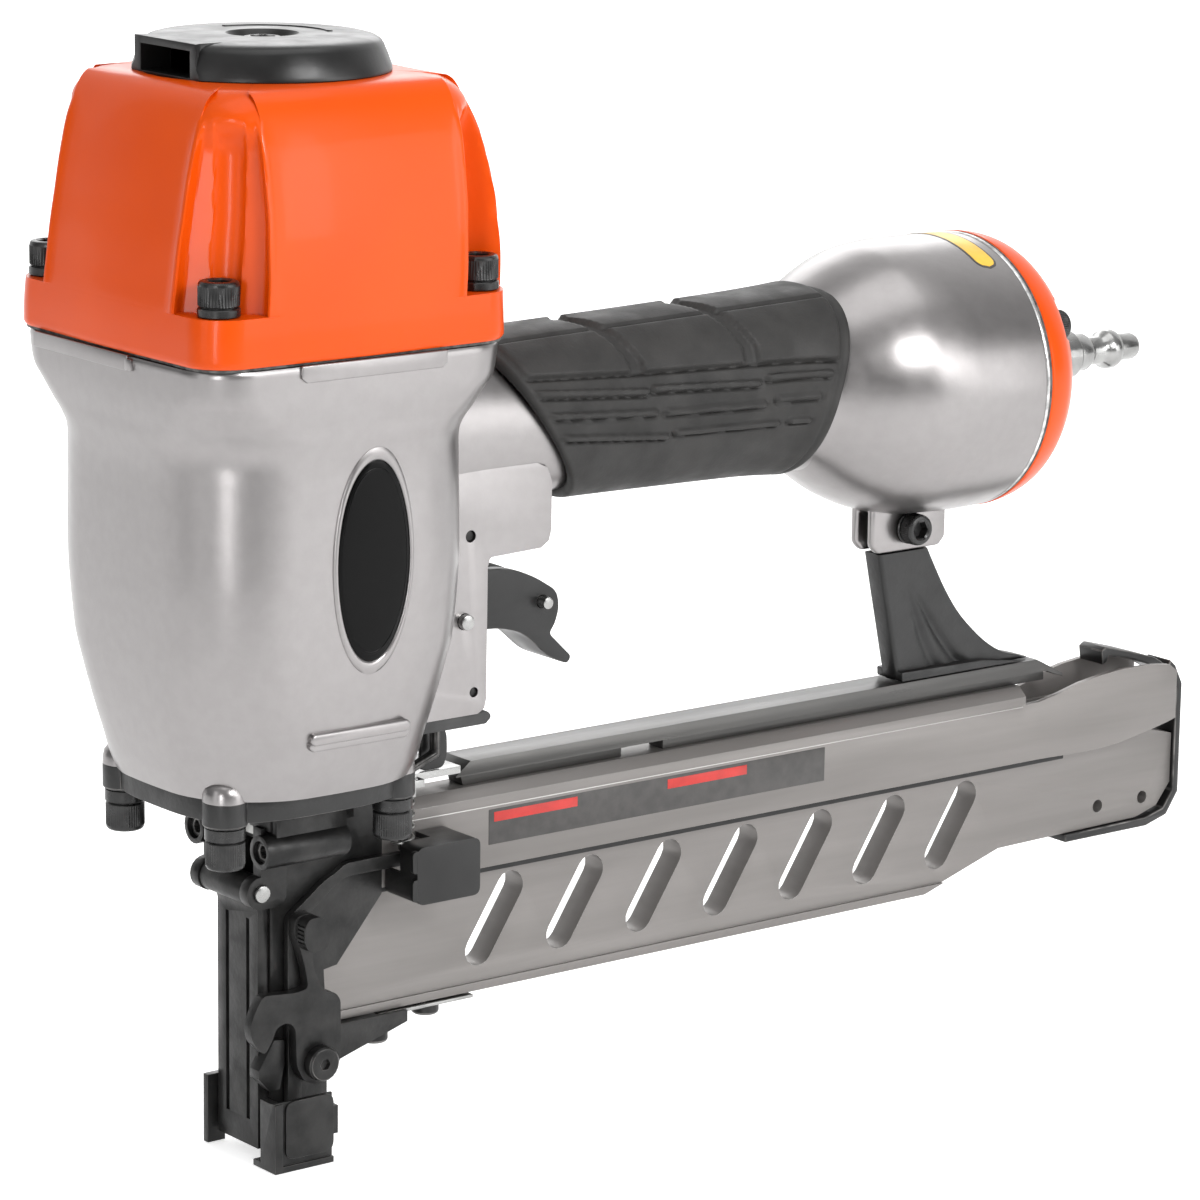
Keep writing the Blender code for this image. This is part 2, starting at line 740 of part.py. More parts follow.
def build_nose():
    cheek = [
        (SLOT_X[0], 0.0),
        (14.0, 0.0),
        (14.0, 27.6),
        (13.0, 44.0),
        (17.0, 44.6),
        (30.8, 61.0),
        (30.8, 90.0),
        (SLOT_X[0], 90.0),
    ]
    body = prism(cheek, "Y", -NOSE_HALF_W, NOSE_HALF_W)
    bracket = prism([(13.0, 17.2), (16.0, 17.2), (41.0, 24.6), (41.0, 27.6), (13.0, 27.6)], "Y", -7.0, 7.0)
    shoulder = box((-6.6, 18.6), (-14.8, 14.8), (84.0, 90.0))
    tubes = [rod("X", (sy * TUBE_Y, TUBE_Z), 4.3, -9.6, 15.0, 20) for sy in (-1, 1)]
    webs = [box((-6.0, 15.0), sorted((sy * 9.0, sy * 17.0)), (79.0, 90.0)) for sy in (-1, 1)]
    turns = [math.pi * (0.5 + i / 10) for i in range(11)]
    ear = [(HINGE[0] + 4.2 * math.cos(a), HINGE[1] + 4.2 * math.sin(a)) for a in turns]
    ear += [(-2.0, 63.8), (-0.4, 66.0), (-0.4, 84.6), (-7.9, 84.6)]
    ears = [prism(ear, "Y", *sorted((sy * 9.4, sy * 12.9))) for sy in (-1, 1)]
    channel = box((-10.0, 60.0), (-CHANNEL_HALF_W, CHANNEL_HALF_W), (27.7, 78.2))
    drive = box((-10.0, SLOT_X[1]), (-CHANNEL_HALF_W, CHANNEL_HALF_W), (-5.0, 95.0))
    cuts = [channel, drive, rod("Y", HINGE, 2.3, -20.0, 20.0, 16)]
    cuts += [rod("X", (sy * TUBE_Y, TUBE_Z), 3.0, -15.0, 8.0, 16) for sy in (-1, 1)]
    cuts += [rod("Y", LATCH_PIVOT, 2.2, -15.0, -5.0, 14)]
    cuts += [rod("Z", xy, 5.3, 70.0, 95.0, 20) for xy in base_screws()]
    cuts += [rod("Z", (35.4, 0.0), 1.7, 10.0, 26.5, 12), box((32.4, 45.0), (-5.9, 5.9), (26.3, 30.0))]
    item = piece("nose_housing", "black_steel", body, add=[bracket, shoulder, *webs, *tubes, *ears])
    for cut in cuts:
        combine(item, cut, "DIFFERENCE")
    for number, sy in enumerate((-1, 1), 1):
        screw = rod("X", (sy * TUBE_Y, TUBE_Z), 2.8, -8.6, 7.0, 18)
        socket = prism(circle((sy * TUBE_Y, TUBE_Z), 1.7, 6), "X", -12.0, -5.0)
        piece(f"clamp_screw_{number}", "black_steel", screw, cut=[socket])
    piece("hinge_pin", "bright_steel", rod("Y", HINGE, 2.2, -13.9, 13.9, 18))


def build_door():
    knuckle = circle(HINGE, 3.9, 22)
    plate = [(DOOR_X[0], 0.2), (DOOR_X[1], 0.2), (DOOR_X[1], 62.5)]
    plate += [(DOOR_X[1] - 1.0, 67.0), (-8.0, 67.5), (DOOR_X[0], 62.0)]
    grooves = [box((-10.0, DOOR_X[0] + 0.8), (y - 0.75, y + 0.75), (7.0, 59.5)) for y in (-4.6, 4.6)]
    ear = [(-5.0, 16.0), (-2.0, 16.0), (-0.6, 22.0), (-0.6, 28.6), (-3.6, 29.0), (-8.2, 21.8), (-8.2, 19.6)]
    item = piece(
        "nose_door",
        "black_steel",
        prism(plate, "Y", -9.0, 9.0),
        add=[prism(knuckle, "Y", -9.0, 9.0), prism(ear, "Y", -12.2, -8.0)],
        cut=[*grooves, rod("Y", HINGE, 2.3, -20.0, 20.0, 16)],
        pivot=(HINGE[0], 0.0, HINGE[1]),
    )
    combine(item, box((DOOR_X[1] + 0.01, 10.0), (-10.1, -7.0), (10.0, 30.0)), "DIFFERENCE")


def build_latch():
    outline = [
        (0.7, 61.2),
        (5.0, 61.6),
        (8.0, 58.8),
        (8.3, 53.1),
        (5.6, 51.0),
        (6.1, 46.6),
        (9.4, 40.3),
        (12.4, 39.7),
        (14.2, 37.5),
        (14.2, 22.0),
        (12.2, 17.6),
        (7.6, 16.2),
        (3.0, 18.0),
        (0.9, 22.4),
        (0.6, 31.8),
        (-0.6, 33.6),
        (-2.3, 34.2),
        (-5.2, 33.5),
        (-6.3, 30.5),
        (-8.8, 26.9),
        (-12.4, 31.0),
        (-13.1, 34.9),
        (-11.7, 38.4),
        (-9.2, 42.4),
        (0.6, 41.5),
        (4.4, 42.0),
        (3.6, 47.0),
        (2.1, 52.3),
        (0.2, 56.5),
    ]
    thumb = prism([(0.7, 52.6), (8.3, 52.6), (8.3, 59.4), (5.2, 61.6), (0.7, 61.2)], "Y", -19.6, -12.8)
    piece(
        "latch_lever",
        "black_steel",
        prism(outline, "Y", -15.6, -12.6),
        add=[thumb],
        cut=[rod("Y", LATCH_PIVOT, 2.2, -25.0, -5.0, 14)],
        pivot=(LATCH_PIVOT[0], 0.0, LATCH_PIVOT[1]),
        smooth=False,
    )
    socket_screw("latch_screw", "Y", LATCH_PIVOT, -15.8, -1, (4.5, 2.7), (2.0, 9.4), socket=1.5)


def build_safety():
    pad = box((-8.8, 8.8), (-20.4, -18.8), (-3.0, 15.2))
    lip_front = box((-8.8, -7.2), (-20.4, -13.6), (-3.0, 15.0))
    lip_low = box((-8.8, 8.8), (-20.4, -10.4), (-3.0, -1.4))
    link = [
        (0.6, -3.0),
        (4.6, -3.0),
        (4.6, 58.5),
        (14.5, 66.0),
        (18.0, 68.0),
        (39.4, 68.0),
        (39.4, 71.4),
        (18.0, 71.4),
        (15.2, 69.4),
        (12.0, 68.2),
        (0.6, 60.0),
    ]
    yoke_near = box((0.6, 15.8), (-12.2, -10.2), (1.0, 8.4))
    yoke_rear = box((14.4, 15.8), (-12.2, 12.2), (1.0, 8.4))
    yoke_far = box((-8.8, 15.8), (10.2, 12.2), (1.0, 8.4))
    flange = box((-8.8, -3.6), (10.2, 12.2), (-3.0, 15.0))
    piece(
        "work_contact",
        "black_steel",
        pad,
        add=[lip_front, lip_low, prism(link, "Y", -12.2, -10.2), yoke_near, yoke_rear, yoke_far, flange],
        smooth=False,
    )
    x, y = SAFETY_ROD
    path = [(x, y, 71.6), (x, y, 91.6), (46.5, y, 95.4), (46.5, y, 118.0)]
    piece("safety_rod", "black_steel", tube_along(path, 1.4))
    piece("safety_spring", "spring_steel", coil("Z", SAFETY_ROD, 2.6, 71.8, 87.9, 5, 0.4, 8, 3))
    cover = box((32.4, 52.7), (-22.0, -8.0), (60.0, 75.0))
    hollow = box((33.8, 51.3), (-20.6, 0.0), (50.0, 73.6))
    window = box((20.0, 50.4), (-14.4, 0.0), (67.0, 90.0))
    piece("safety_cover", "black_satin", cover, cut=[hollow, window], smooth=False)
    piece(
        "rail_bracket",
        "bright_steel",
        box((33.5, 56.4), (-8.2, 8.2), (88.2, 90.1)),
        add=[box((36.0, 44.0), (-6.0, 6.0), (83.3, 88.6)), box((33.5, 41.0), (-14.0, -7.0), (88.2, 90.1))],
        cut=[rod("Z", SAFETY_ROD, 1.8, 80.0, 95.0, 14)],
        smooth=False,
    )


# Magazine


def slot_outlines():
    """The slanted lightening slots, from their lowest centres upwards."""
    for index in range(SLOT_COUNT):
        x = SLOT_FIRST_X + 1.2 + index * SLOT_PITCH
        yield capsule((x, 38.6), (x + 10.0, 54.0), 4.3)


def build_magazine():
    outline = [
        (CORE_FRONT_X, CORE_Z[0]),
        (219.0, CORE_Z[0]),
        (247.0, 36.6),
        (300.0, 37.4),
        (308.2, 39.8),
        (CORE_REAR_X, 46.0),
        (CORE_REAR_X, 60.5),
        (300.0, 64.0),
        (300.0, CORE_Z[1]),
        (CORE_FRONT_X, CORE_Z[1]),
    ]
    bead = prism([(CORE_FRONT_X, 28.0), (219.0, 28.0), (226.0, 30.2), (CORE_FRONT_X, 30.2)], "Y", -4.9, 4.9)
    cuts = [prism(slot, "Y", -8.0, 8.0) for slot in slot_outlines()]
    cuts += [rod("Y", (x, 43.0), 1.9, -8.0, 8.0, 14) for x in (285.0, 302.4)]
    cuts.append(box((14.0, 292.0), (-2.7, 2.7), (66.0, 80.0)))
    piece(
        "magazine_core",
        "magazine_grey",
        prism(outline, "Y", -CORE_HALF_W, CORE_HALF_W),
        add=[bead],
        cut=cuts,
    )
    build_guide()
    build_rail()
    strap = [
        (272.0, 34.4),
        (303.6, 34.4),
        (311.6, 36.6),
        (316.0, 43.0),
        (316.0, 75.0),
        (313.2, 80.6),
        (311.0, 82.6),
        (309.9, 79.8),
        (311.6, 78.2),
        (313.7, 74.2),
        (313.7, 43.6),
        (310.2, 38.8),
        (303.2, 37.0),
        (272.0, 36.7),
    ]
    piece("rear_band", "black_satin", prism(strap, "Y", -4.8, 4.8), smooth=False)
    latch = [
        (284.2, 84.6),
        (286.0, 85.4),
        (286.4, 87.0),
        (294.5, 84.9),
        (304.0, 81.8),
        (307.8, 79.6),
        (308.4, 79.4),
        (309.1, 79.6),
        (309.6, 80.5),
        (309.1, 81.5),
        (304.8, 84.1),
        (295.0, 87.2),
        (285.4, 89.8),
        (283.6, 88.8),
    ]
    piece(
        "magazine_latch",
        "black_satin",
        prism(latch, "Y", -4.8, 4.8),
        pivot=(LATCH_HINGE[0], 0.0, LATCH_HINGE[1]),
        smooth=False,
    )
    build_pusher()
    piece("bottom_strip", "bright_steel", box((33.0, 63.0), (-5.6, 5.6), (26.6, 27.5)), cut=[
        rod("Z", (x, 0.0), 1.8, 20.0, 30.0, 12) for x in (51.5,)
    ], smooth=False)
    socket_screw("strip_screw_1", "Z", (51.5, 0.0), 26.5, -1, (3.6, 3.2), (1.6, 0.8))
    socket_screw("strip_screw_2", "Z", (35.4, 0.0), 21.6, -1, (3.6, 3.0), (1.6, 4.2))


def build_guide():
    """The inverted U that covers the crowns; behind the rail it opens into two flared wings."""
    front, step, rear = GUIDE_X
    w = GUIDE_HALF_W
    low, high = GUIDE_Z
    section = [(-w, low), (w, low), (w, 80.2), (4.6, high), (-4.6, high), (-w, 80.2)]
    body = prism(section, "X", front, step)
    inside = box((front - 5.0, rear + 5.0), (-GUIDE_INNER, GUIDE_INNER), (50.0, 78.2))
    wings = []
    stations = [(step - 3.0, 5.95, w, 78.0), (262.0, 6.2, 7.8, 79.0), (286.0, 7.6, 9.2, 83.6)]
    stations.append((rear, 8.0, 9.6, 83.0))
    for side in (-1, 1):
        rings = []
        for x, inner, outer, top in stations:
            rings.append(
                [
                    (x, side * inner, GUIDE_Z[0]),
                    (x, side * outer, GUIDE_Z[0]),
                    (x, side * outer, top),
                    (x, side * inner, top),
                ]
            )
        wings.append(skin(rings))
    piece("magazine_guide", "magazine_grey", body, add=wings, cut=[inside])


def build_rail():
    x0, x1 = RAIL_X
    w = RAIL_HALF_W
    profile = [(x0, 86.4), (x0 + 4.6, RAIL_TOP_Z), (x1 - 10.0, RAIL_TOP_Z)]
    profile += [(x1, 84.6), (x1, 83.4), (x0, 83.4)]
    sides = [box((x0 - 5.0, x1 + 5.0), sorted((sy * 3.8, sy * 12.0)), (80.0, 86.2)) for sy in (-1, 1)]
    window = box((113.0, 126.0), (-12.0, 12.0), (83.9, 86.0))
    piece("magazine_rail", "black_satin", prism(profile, "Y", -w, w), cut=[*sides, window], smooth=False)


def build_pusher():
    saddle = box((18.0, 44.0), (-5.6, 5.6), (60.0, 77.9))
    straddle = box((10.0, 50.0), (-4.1, 4.1), (50.0, 76.2))
    tongue = box((18.0, 40.0), (-2.4, 2.4), (66.6, 77.0))
    piece("pusher", "spring_steel", saddle, cut=[straddle], smooth=False)
    combine(bpy.data.objects["pusher"], tongue, "UNION")
    spring = coil("X", (0.0, 70.2), 1.9, 40.3, 291.0, 26, 0.4, 6, 3)
    piece("pusher_spring", "spring_steel", spring, smooth=False)


def build_arm():
    outline = [
        (200.4, 126.6),
        (204.6, 107.0),
        (208.2, 90.3),
        (257.6, 90.3),
        (254.0, 91.6),
        (247.6, 93.2),
        (241.3, 96.8),
        (235.8, 101.4),
        (230.3, 107.0),
        (225.6, 113.5),
        (221.0, 121.4),
        (218.2, 126.6),
    ]
    tongue = [(201.6, 125.0), (218.0, 125.0), (218.0, 136.4), (215.0, 138.2), (204.0, 138.2), (201.6, 136.4)]
    piece(
        "support_arm",
        "black_satin",
        prism(outline, "Y", -3.4, 3.4),
        add=[
            prism(tongue, "Y", -ARM_TONGUE_HALF_W, ARM_TONGUE_HALF_W),
            prism([(208.2, 90.3), (252.0, 90.3), (238.0, 92.6), (208.0, 93.0)], "Y", -5.4, 5.4),
        ],
        cut=[rod("Y", ARM_SCREW, 2.7, -20.0, 20.0, 14)],
        smooth=False,
    )
    socket_screw("arm_screw", "Y", ARM_SCREW, -LUG_HALF_W - 0.2, -1, (4.3, 5.0), (2.4, 9.0))


def build():
    clear_scene()
    build_casting()
    build_cap()
    build_deflector()
    build_cylinder()
    build_grip()
    build_tail()
    build_trigger()
    build_base()
    build_nose()
    build_door()
    build_latch()
    build_safety()
    build_magazine()
    build_arm()


build()
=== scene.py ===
"""Looks of the pneumatic nail gun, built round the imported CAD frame.

Lengths in the shape code are millimetres. X runs along the handle, Z is up, and the photo looks at -Y.
"""

import math

import bmesh
import bpy
from mathutils import Matrix, Vector


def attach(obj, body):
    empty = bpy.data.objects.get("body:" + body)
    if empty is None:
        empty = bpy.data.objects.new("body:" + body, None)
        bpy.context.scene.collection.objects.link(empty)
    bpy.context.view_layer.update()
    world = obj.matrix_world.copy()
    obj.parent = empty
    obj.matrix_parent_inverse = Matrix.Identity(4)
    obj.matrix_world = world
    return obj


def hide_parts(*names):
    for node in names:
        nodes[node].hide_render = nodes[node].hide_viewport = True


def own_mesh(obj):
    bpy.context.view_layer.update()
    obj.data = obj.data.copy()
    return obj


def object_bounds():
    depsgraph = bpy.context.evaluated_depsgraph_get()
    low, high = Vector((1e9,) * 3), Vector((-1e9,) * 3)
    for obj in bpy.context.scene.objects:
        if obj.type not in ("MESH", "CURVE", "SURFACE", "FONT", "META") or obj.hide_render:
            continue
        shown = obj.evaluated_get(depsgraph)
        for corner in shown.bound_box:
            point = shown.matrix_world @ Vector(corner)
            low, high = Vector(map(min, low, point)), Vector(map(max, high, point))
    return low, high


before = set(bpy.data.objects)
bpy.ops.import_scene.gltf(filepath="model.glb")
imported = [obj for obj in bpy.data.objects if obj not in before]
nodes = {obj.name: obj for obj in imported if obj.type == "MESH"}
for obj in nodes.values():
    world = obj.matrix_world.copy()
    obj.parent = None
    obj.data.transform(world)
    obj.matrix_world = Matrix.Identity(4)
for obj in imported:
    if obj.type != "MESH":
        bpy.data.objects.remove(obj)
cad_box = [list(corner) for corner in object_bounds()]
scene = bpy.context.scene
MM = 0.001
HEAD_X = 1.6  # the cylinder's axis
TAIL_Z = 174.7  # the axis of the rear bell and the air plug
HEAD_AXIS, TAIL_AXIS = ("Z", (HEAD_X, 0)), ("X", (0, TAIL_Z))


# Camera, light and floor, in metres

AZIMUTH, ELEVATION, ROLL = (math.radians(angle) for angle in (37.89, 12.75, 0.76))
CAMERA_AT = (-0.664, -0.9909, 0.4095)
LENS = 148.08
LIGHTS = [  # name, place, target, size, power
    ("key", (0.62, -1.45, 0.62), (0.08, 0, 0.17), (0.46, 0.66), 4.2),
    ("fill", (-1.5, -0.2, 0.45), (0.05, 0, 0.15), (0.5, 1.2), 2.8),
    ("side", (1.25, -1.6, 0.3), (0.1, 0, 0.16), (1, 1), 8.7),
    ("front", (-1.25, -0.98, 0.12), (0, 0, 0.16), (0.22, 1), 9),
    ("spot", (0.12, -1.06, 0.72), (0.19, 0, 0.19), (0.3, 0.24), 7.5),
    ("top", (0.1, -0.2, 1.5), (0.1, 0, 0.1), (1.4, 0.9), 6),
    ("back", (0.9, 1.2, 0.9), (0.1, 0, 0.15), (1, 0.8), 5),
]
SKY = [(0, 0.4), (0.45, 0.3), (0.58, 0.26), (0.75, 0.5), (1, 1)]  # greys from below to above
FLOOR_NEAR, FLOOR_FAR, FLOOR_HALF = -3, 1.4, 5
BEND, WALL_TOP = 0.7, 4


def set_camera():
    level = math.cos(ELEVATION)
    back = Vector((-math.sin(AZIMUTH) * level, -math.cos(AZIMUTH) * level, math.sin(ELEVATION)))
    right = Vector((math.cos(AZIMUTH), -math.sin(AZIMUTH), 0))
    up = back.cross(right)
    turned_right = right * math.cos(ROLL) + up * math.sin(ROLL)
    turned_up = up * math.cos(ROLL) - right * math.sin(ROLL)
    data = bpy.data.cameras.new("camera")
    data.lens = LENS
    data.sensor_width = 36
    data.clip_end = 20
    camera = bpy.data.objects.new("camera", data)
    scene.collection.objects.link(camera)
    turn = Matrix((turned_right, turned_up, back)).transposed().to_4x4()
    camera.matrix_world = Matrix.Translation(CAMERA_AT) @ turn
    scene.camera = camera


def set_lights():
    for name, at, target, size, power in LIGHTS:
        data = bpy.data.lights.new(name, "AREA")
        data.shape = "RECTANGLE"
        data.size, data.size_y = size
        data.energy = power
        lamp = bpy.data.objects.new(name, data)
        lamp.location = at
        lamp.rotation_mode = "QUATERNION"
        lamp.rotation_quaternion = (Vector(target) - Vector(at)).to_track_quat("-Z", "Y")
        scene.collection.objects.link(lamp)


def add_node(tree, kind, inputs=(), **settings):
    """A new node. Each (input, value) is linked where the value is a socket, and set otherwise."""
    node = tree.nodes.new(kind)
    for key, value in settings.items():
        setattr(node, key, value)
    for key, value in inputs:
        if isinstance(value, bpy.types.NodeSocket):
            tree.links.new(value, node.inputs[key])
        else:
            node.inputs[key].default_value = value
    return node


def add_ramp(tree, value, stops):
    """A colour ramp through (position, colour) stops, lowest first."""
    ramp = add_node(tree, "ShaderNodeValToRGB", [(0, value)])
    elements = ramp.color_ramp.elements
    for number, stop in ((0, stops[0]), (1, stops[-1])):
        elements[number].position = stop[0]
        elements[number].color = (*rgb(stop[1]), 1)
    for position, colour in stops[1:-1]:
        elements.new(position).color = (*rgb(colour), 1)
    return ramp.outputs[0]


def set_world():
    scene.world = bpy.data.worlds.new("studio")
    scene.world.use_nodes = True
    tree = scene.world.node_tree
    where = add_node(tree, "ShaderNodeTexCoord")
    split = add_node(tree, "ShaderNodeSeparateXYZ", [(0, where.outputs["Generated"])])
    share = [(0, split.outputs["Z"]), (1, 0.5), (2, 0.5)]
    height = add_node(tree, "ShaderNodeMath", share, operation="MULTIPLY_ADD")
    ground = tree.nodes["Background"]
    tree.links.new(add_ramp(tree, height.outputs[0], SKY), ground.inputs["Color"])
    ground.inputs["Strength"].default_value = 0.8
    scene.view_settings.view_transform = "Standard"


def make_floor():
    """White paper, level under the tool and bent up behind it. From its back it is clear."""
    profile = [(FLOOR_NEAR, 0), (FLOOR_FAR, 0)]
    for t in steps_between(0.1, math.pi / 2, 12):
        profile.append((FLOOR_FAR + BEND * math.sin(t), BEND - BEND * math.cos(t)))
    profile.append((FLOOR_FAR + BEND, WALL_TOP))
    view = Vector((math.sin(AZIMUTH), math.cos(AZIMUTH), 0))
    across = Vector((view.y, -view.x, 0))
    points = []
    for along, up in profile:
        points += [view * along + across * side + Vector((0, 0, up)) for side in (-FLOOR_HALF, FLOOR_HALF)]
    mesh = bpy.data.meshes.new("floor")
    mesh.from_pydata(points, [], [(i, i + 1, i + 3, i + 2) for i in range(0, len(points) - 2, 2)])
    mesh.shade_smooth()
    floor = bpy.data.objects.new("floor", mesh)
    floor.location.z = cad_box[0][2] - 0.0002
    scene.collection.objects.link(floor)
    paper = surface("floor", 0.8, 0.7)
    tree = paper.node_tree
    shader = tree.nodes["Principled BSDF"]
    shader.inputs["Emission Color"].default_value = (1, 1, 1, 1)
    where = add_node(tree, "ShaderNodeTexCoord")
    ahead = [(0, where.outputs["Object"]), (1, view)]
    along = add_node(tree, "ShaderNodeVectorMath", ahead, operation="DOT_PRODUCT")
    glow = map_range(tree, along.outputs["Value"], (-0.75, -0.2), (0, 0.62))
    tree.links.new(glow, shader.inputs["Emission Strength"])
    facing = add_node(tree, "ShaderNodeNewGeometry")
    clear = add_node(tree, "ShaderNodeBsdfTransparent")
    parts = [(0, facing.outputs["Backfacing"]), (1, shader.outputs[0]), (2, clear.outputs[0])]
    one_sided = add_node(tree, "ShaderNodeMixShader", parts)
    tree.links.new(one_sided.outputs[0], tree.nodes["Material Output"].inputs["Surface"])
    mesh.materials.append(paper)


# Materials


def rgb(colour):
    """Three channels, also for a grey given as one number."""
    return colour if isinstance(colour, tuple) else (colour,) * 3


def surface(name, colour, roughness, metallic=0, coat=0, specular=0.5):
    mat = bpy.data.materials.new(name)
    mat.use_nodes = True
    shader = mat.node_tree.nodes["Principled BSDF"]
    values = {"Base Color": (*rgb(colour), 1), "Roughness": roughness, "Metallic": metallic}
    values |= {"Coat Weight": coat, "Coat Roughness": 0.05, "Specular IOR Level": specular}
    for key, value in values.items():
        shader.inputs[key].default_value = value
    return mat


def noise(tree, scale, detail, stretch=(1, 1, 1)):
    where = add_node(tree, "ShaderNodeTexCoord")
    inputs = [("Vector", where.outputs["Object"]), ("Scale", stretch)]
    mapping = add_node(tree, "ShaderNodeMapping", inputs)
    inputs = [("Vector", mapping.outputs["Vector"]), ("Scale", scale), ("Detail", detail)]
    return add_node(tree, "ShaderNodeTexNoise", inputs).outputs["Fac"]


def map_range(tree, value, from_range, to_range):
    inputs = [("Value", value), ("From Min", from_range[0]), ("From Max", from_range[1])]
    inputs += [("To Min", to_range[0]), ("To Max", to_range[1])]
    return add_node(tree, "ShaderNodeMapRange", inputs).outputs[0]


def look(name, colour, roughness, options, colours, roughs, bump):
    """A surface whose colour, roughness and height vary with noise, as LOOKS gives them."""
    mat = surface(name, colour, roughness, **options)
    tree = mat.node_tree
    shader = tree.nodes["Principled BSDF"]
    if colours:
        light, dark, *place_on = colours
        shade = add_ramp(tree, noise(tree, place_on[0], 4, *place_on[1:]), [(0.35, dark), (0.65, light)])
        tree.links.new(shade, shader.inputs["Base Color"])
    if roughs:
        low, high, *place_on = roughs
        value = map_range(tree, noise(tree, place_on[0], 5, *place_on[1:]), (0.3, 0.7), (low, high))
        tree.links.new(value, shader.inputs["Roughness"])
    if bump:
        scale, strength, depth, *stretch = bump
        inputs = [("Height", noise(tree, scale, 3, *stretch)), ("Strength", strength), ("Distance", depth)]
        tree.links.new(add_node(tree, "ShaderNodeBump", inputs).outputs[0], shader.inputs["Normal"])
    return mat


# Each look: colour, roughness, options, then (light, dark, scale), (lowest and highest roughness, scale)
# and (scale, strength, depth in metres) of its noises, with a stretch where the grain has a direction.
LOOKS = {
    "orange_gloss": (
        (0.6, 0.062, 0.001), 0.3, {"coat": 0.1, "specular": 0.15},
        ((0.612, 0.064, 0.001), (0.582, 0.058, 0.001), 22), (), (900, 0.06, 0.0001)),
    "cast_silver": (
        0.6, 0.36, {"metallic": 1},
        ((0.291, 0.279, 0.278), (0.278, 0.266, 0.265), 300), (0.29, 0.33, 250), (1500, 0.14, 0.0001)),
    "machined_edge": (
        0.6, 0.3, {"metallic": 1}, ((0.72, 0.72, 0.71), 0.34, 420), (), (700, 0.35, 0.0003)),
    "badge_black": (0.002, 0.12, {"specular": 0.1}, (), (0.1, 0.15, 40), (500, 0.02, 0.0001)),
    "grip_rubber": (
        (0.02, 0.02, 0.019), 0.62, {"specular": 0.35},
        ((0.024, 0.023, 0.022), (0.015, 0.0145, 0.014), 90), (0.52, 0.7, 140), (1300, 0.35, 0.00015)),
    "bumper_rubber": (0.03, 0.6, {}, (0.036, 0.02, 120), (), (1200, 0.2, 0.0002)),
    "gasket": (0.03, 0.8, {}, ((0.1, 0.1, 0.095), 0.02, 500), (), (900, 0.4, 0.0003)),
    "magazine_grey": (
        (0.184, 0.175, 0.17), 0.42, {"metallic": 0.55},
        ((0.195, 0.184, 0.177), (0.164, 0.155, 0.148), 45, (0.25, 1, 2.5)),
        (0.36, 0.48, 160, (0.15, 1, 4)), (900, 0.16, 0.0001, (0.2, 1, 3))),
    # lighter grey for the worn edges of the magazine parts, and the painted highlight along the cover's
    # crease
    "magazine_wear_and_highlight": (
        (0.45, 0.44, 0.43), 0.34, {"metallic": 0.8},
        ((0.5, 0.49, 0.48), (0.38, 0.37, 0.36), 60, (0.2, 1, 1)), (), (900, 0.1, 0.0001)),
    "black_satin": (
        0.006, 0.3, {"specular": 0.4}, (0.008, 0.004, 70), (0.28, 0.42, 120), (1100, 0.14, 0.00012)),
    "black_cast": (
        0.007, 0.4, {"specular": 0.45}, (0.01, 0.005, 90), (0.34, 0.52, 200), (700, 0.35, 0.00025)),
    "black_steel": (
        0.02, 0.34, {"metallic": 0.5, "specular": 0.45},
        ((0.024, 0.0235, 0.023), 0.009, 130), (0.28, 0.5, 220), (800, 0.28, 0.0002)),
    "screw_black": (
        0.014, 0.3, {"metallic": 0.4, "specular": 0.6},
        (0.022, 0.009, 300), (0.22, 0.38, 400), (1600, 0.15, 0.0001)),
    "bright_steel": (
        0.72, 0.18, {"metallic": 1},
        ((0.36, 0.36, 0.355), (0.28, 0.28, 0.275), 200), (0.16, 0.3, 300), (1500, 0.08, 0.0001)),
    "spring_steel": (
        0.42, 0.28, {"metallic": 1},
        ((0.46, 0.46, 0.45), (0.34, 0.34, 0.33), 160), (), (1200, 0.08, 0.0001)),
    "black_edge": (
        0.06, 0.34, {"metallic": 0.7},
        ((0.14, 0.135, 0.13), 0.02, 170), (0.28, 0.42, 260), (900, 0.25, 0.0002)),
    "rail_black": (
        0.05, 0.3, {"metallic": 0.75},
        ((0.085, 0.083, 0.08), (0.06, 0.059, 0.058), 60, (0.2, 1, 1)),
        (0.26, 0.36, 200, (0.1, 1, 1)), (1000, 0.1, 0.0001)),
    # painted shadow: near-black for the strips under the magazine cover's lower edges
    "painted_shadow_black": (0.006, 0.7, {}, (0.01, 0.004, 120), (), ()),
    "label_dark": (
        (0.035, 0.033, 0.032), 0.4, {}, ((0.045, 0.042, 0.04), (0.03, 0.028, 0.027), 300), (), ()),
    "label_red": (
        (0.42, 0.016, 0.012), 0.35, {}, ((0.46, 0.018, 0.013), (0.36, 0.014, 0.01), 200), (), ()),
    "label_yellow": (
        (0.72, 0.42, 0.02), 0.35, {}, ((0.76, 0.46, 0.025), (0.66, 0.38, 0.02), 200), (), ()),
}


# Shapes: each returns (points, faces)


def skin(rings, loop=False):
    """Faces between rings of equally many points, closed by two caps or, as a loop, by the first ring."""
    if loop:
        rings = [*rings, rings[0]]
    count = len(rings[0])
    points = [p for ring in rings for p in ring]
    faces = []
    for i in range(len(rings) - 1):
        for j in range(count):
            k = (j + 1) % count
            faces.append((i * count + j, i * count + k, (i + 1) * count + k, (i + 1) * count + j))
    if not loop:
        faces.append(tuple(reversed(range(count))))
        faces.append(tuple(range((len(rings) - 1) * count, len(rings) * count)))
    return points, faces


def place(axis, along, a, b):
    return {"X": (along, a, b), "Y": (a, along, b), "Z": (a, b, along)}[axis]


def prism(outline, axis, low, high):
    return skin([[place(axis, at, a, b) for a, b in outline] for at in (low, high)])


def box(x, y, z):
    return prism([(x[0], y[0]), (x[1], y[0]), (x[1], y[1]), (x[0], y[1])], "Z", *z)


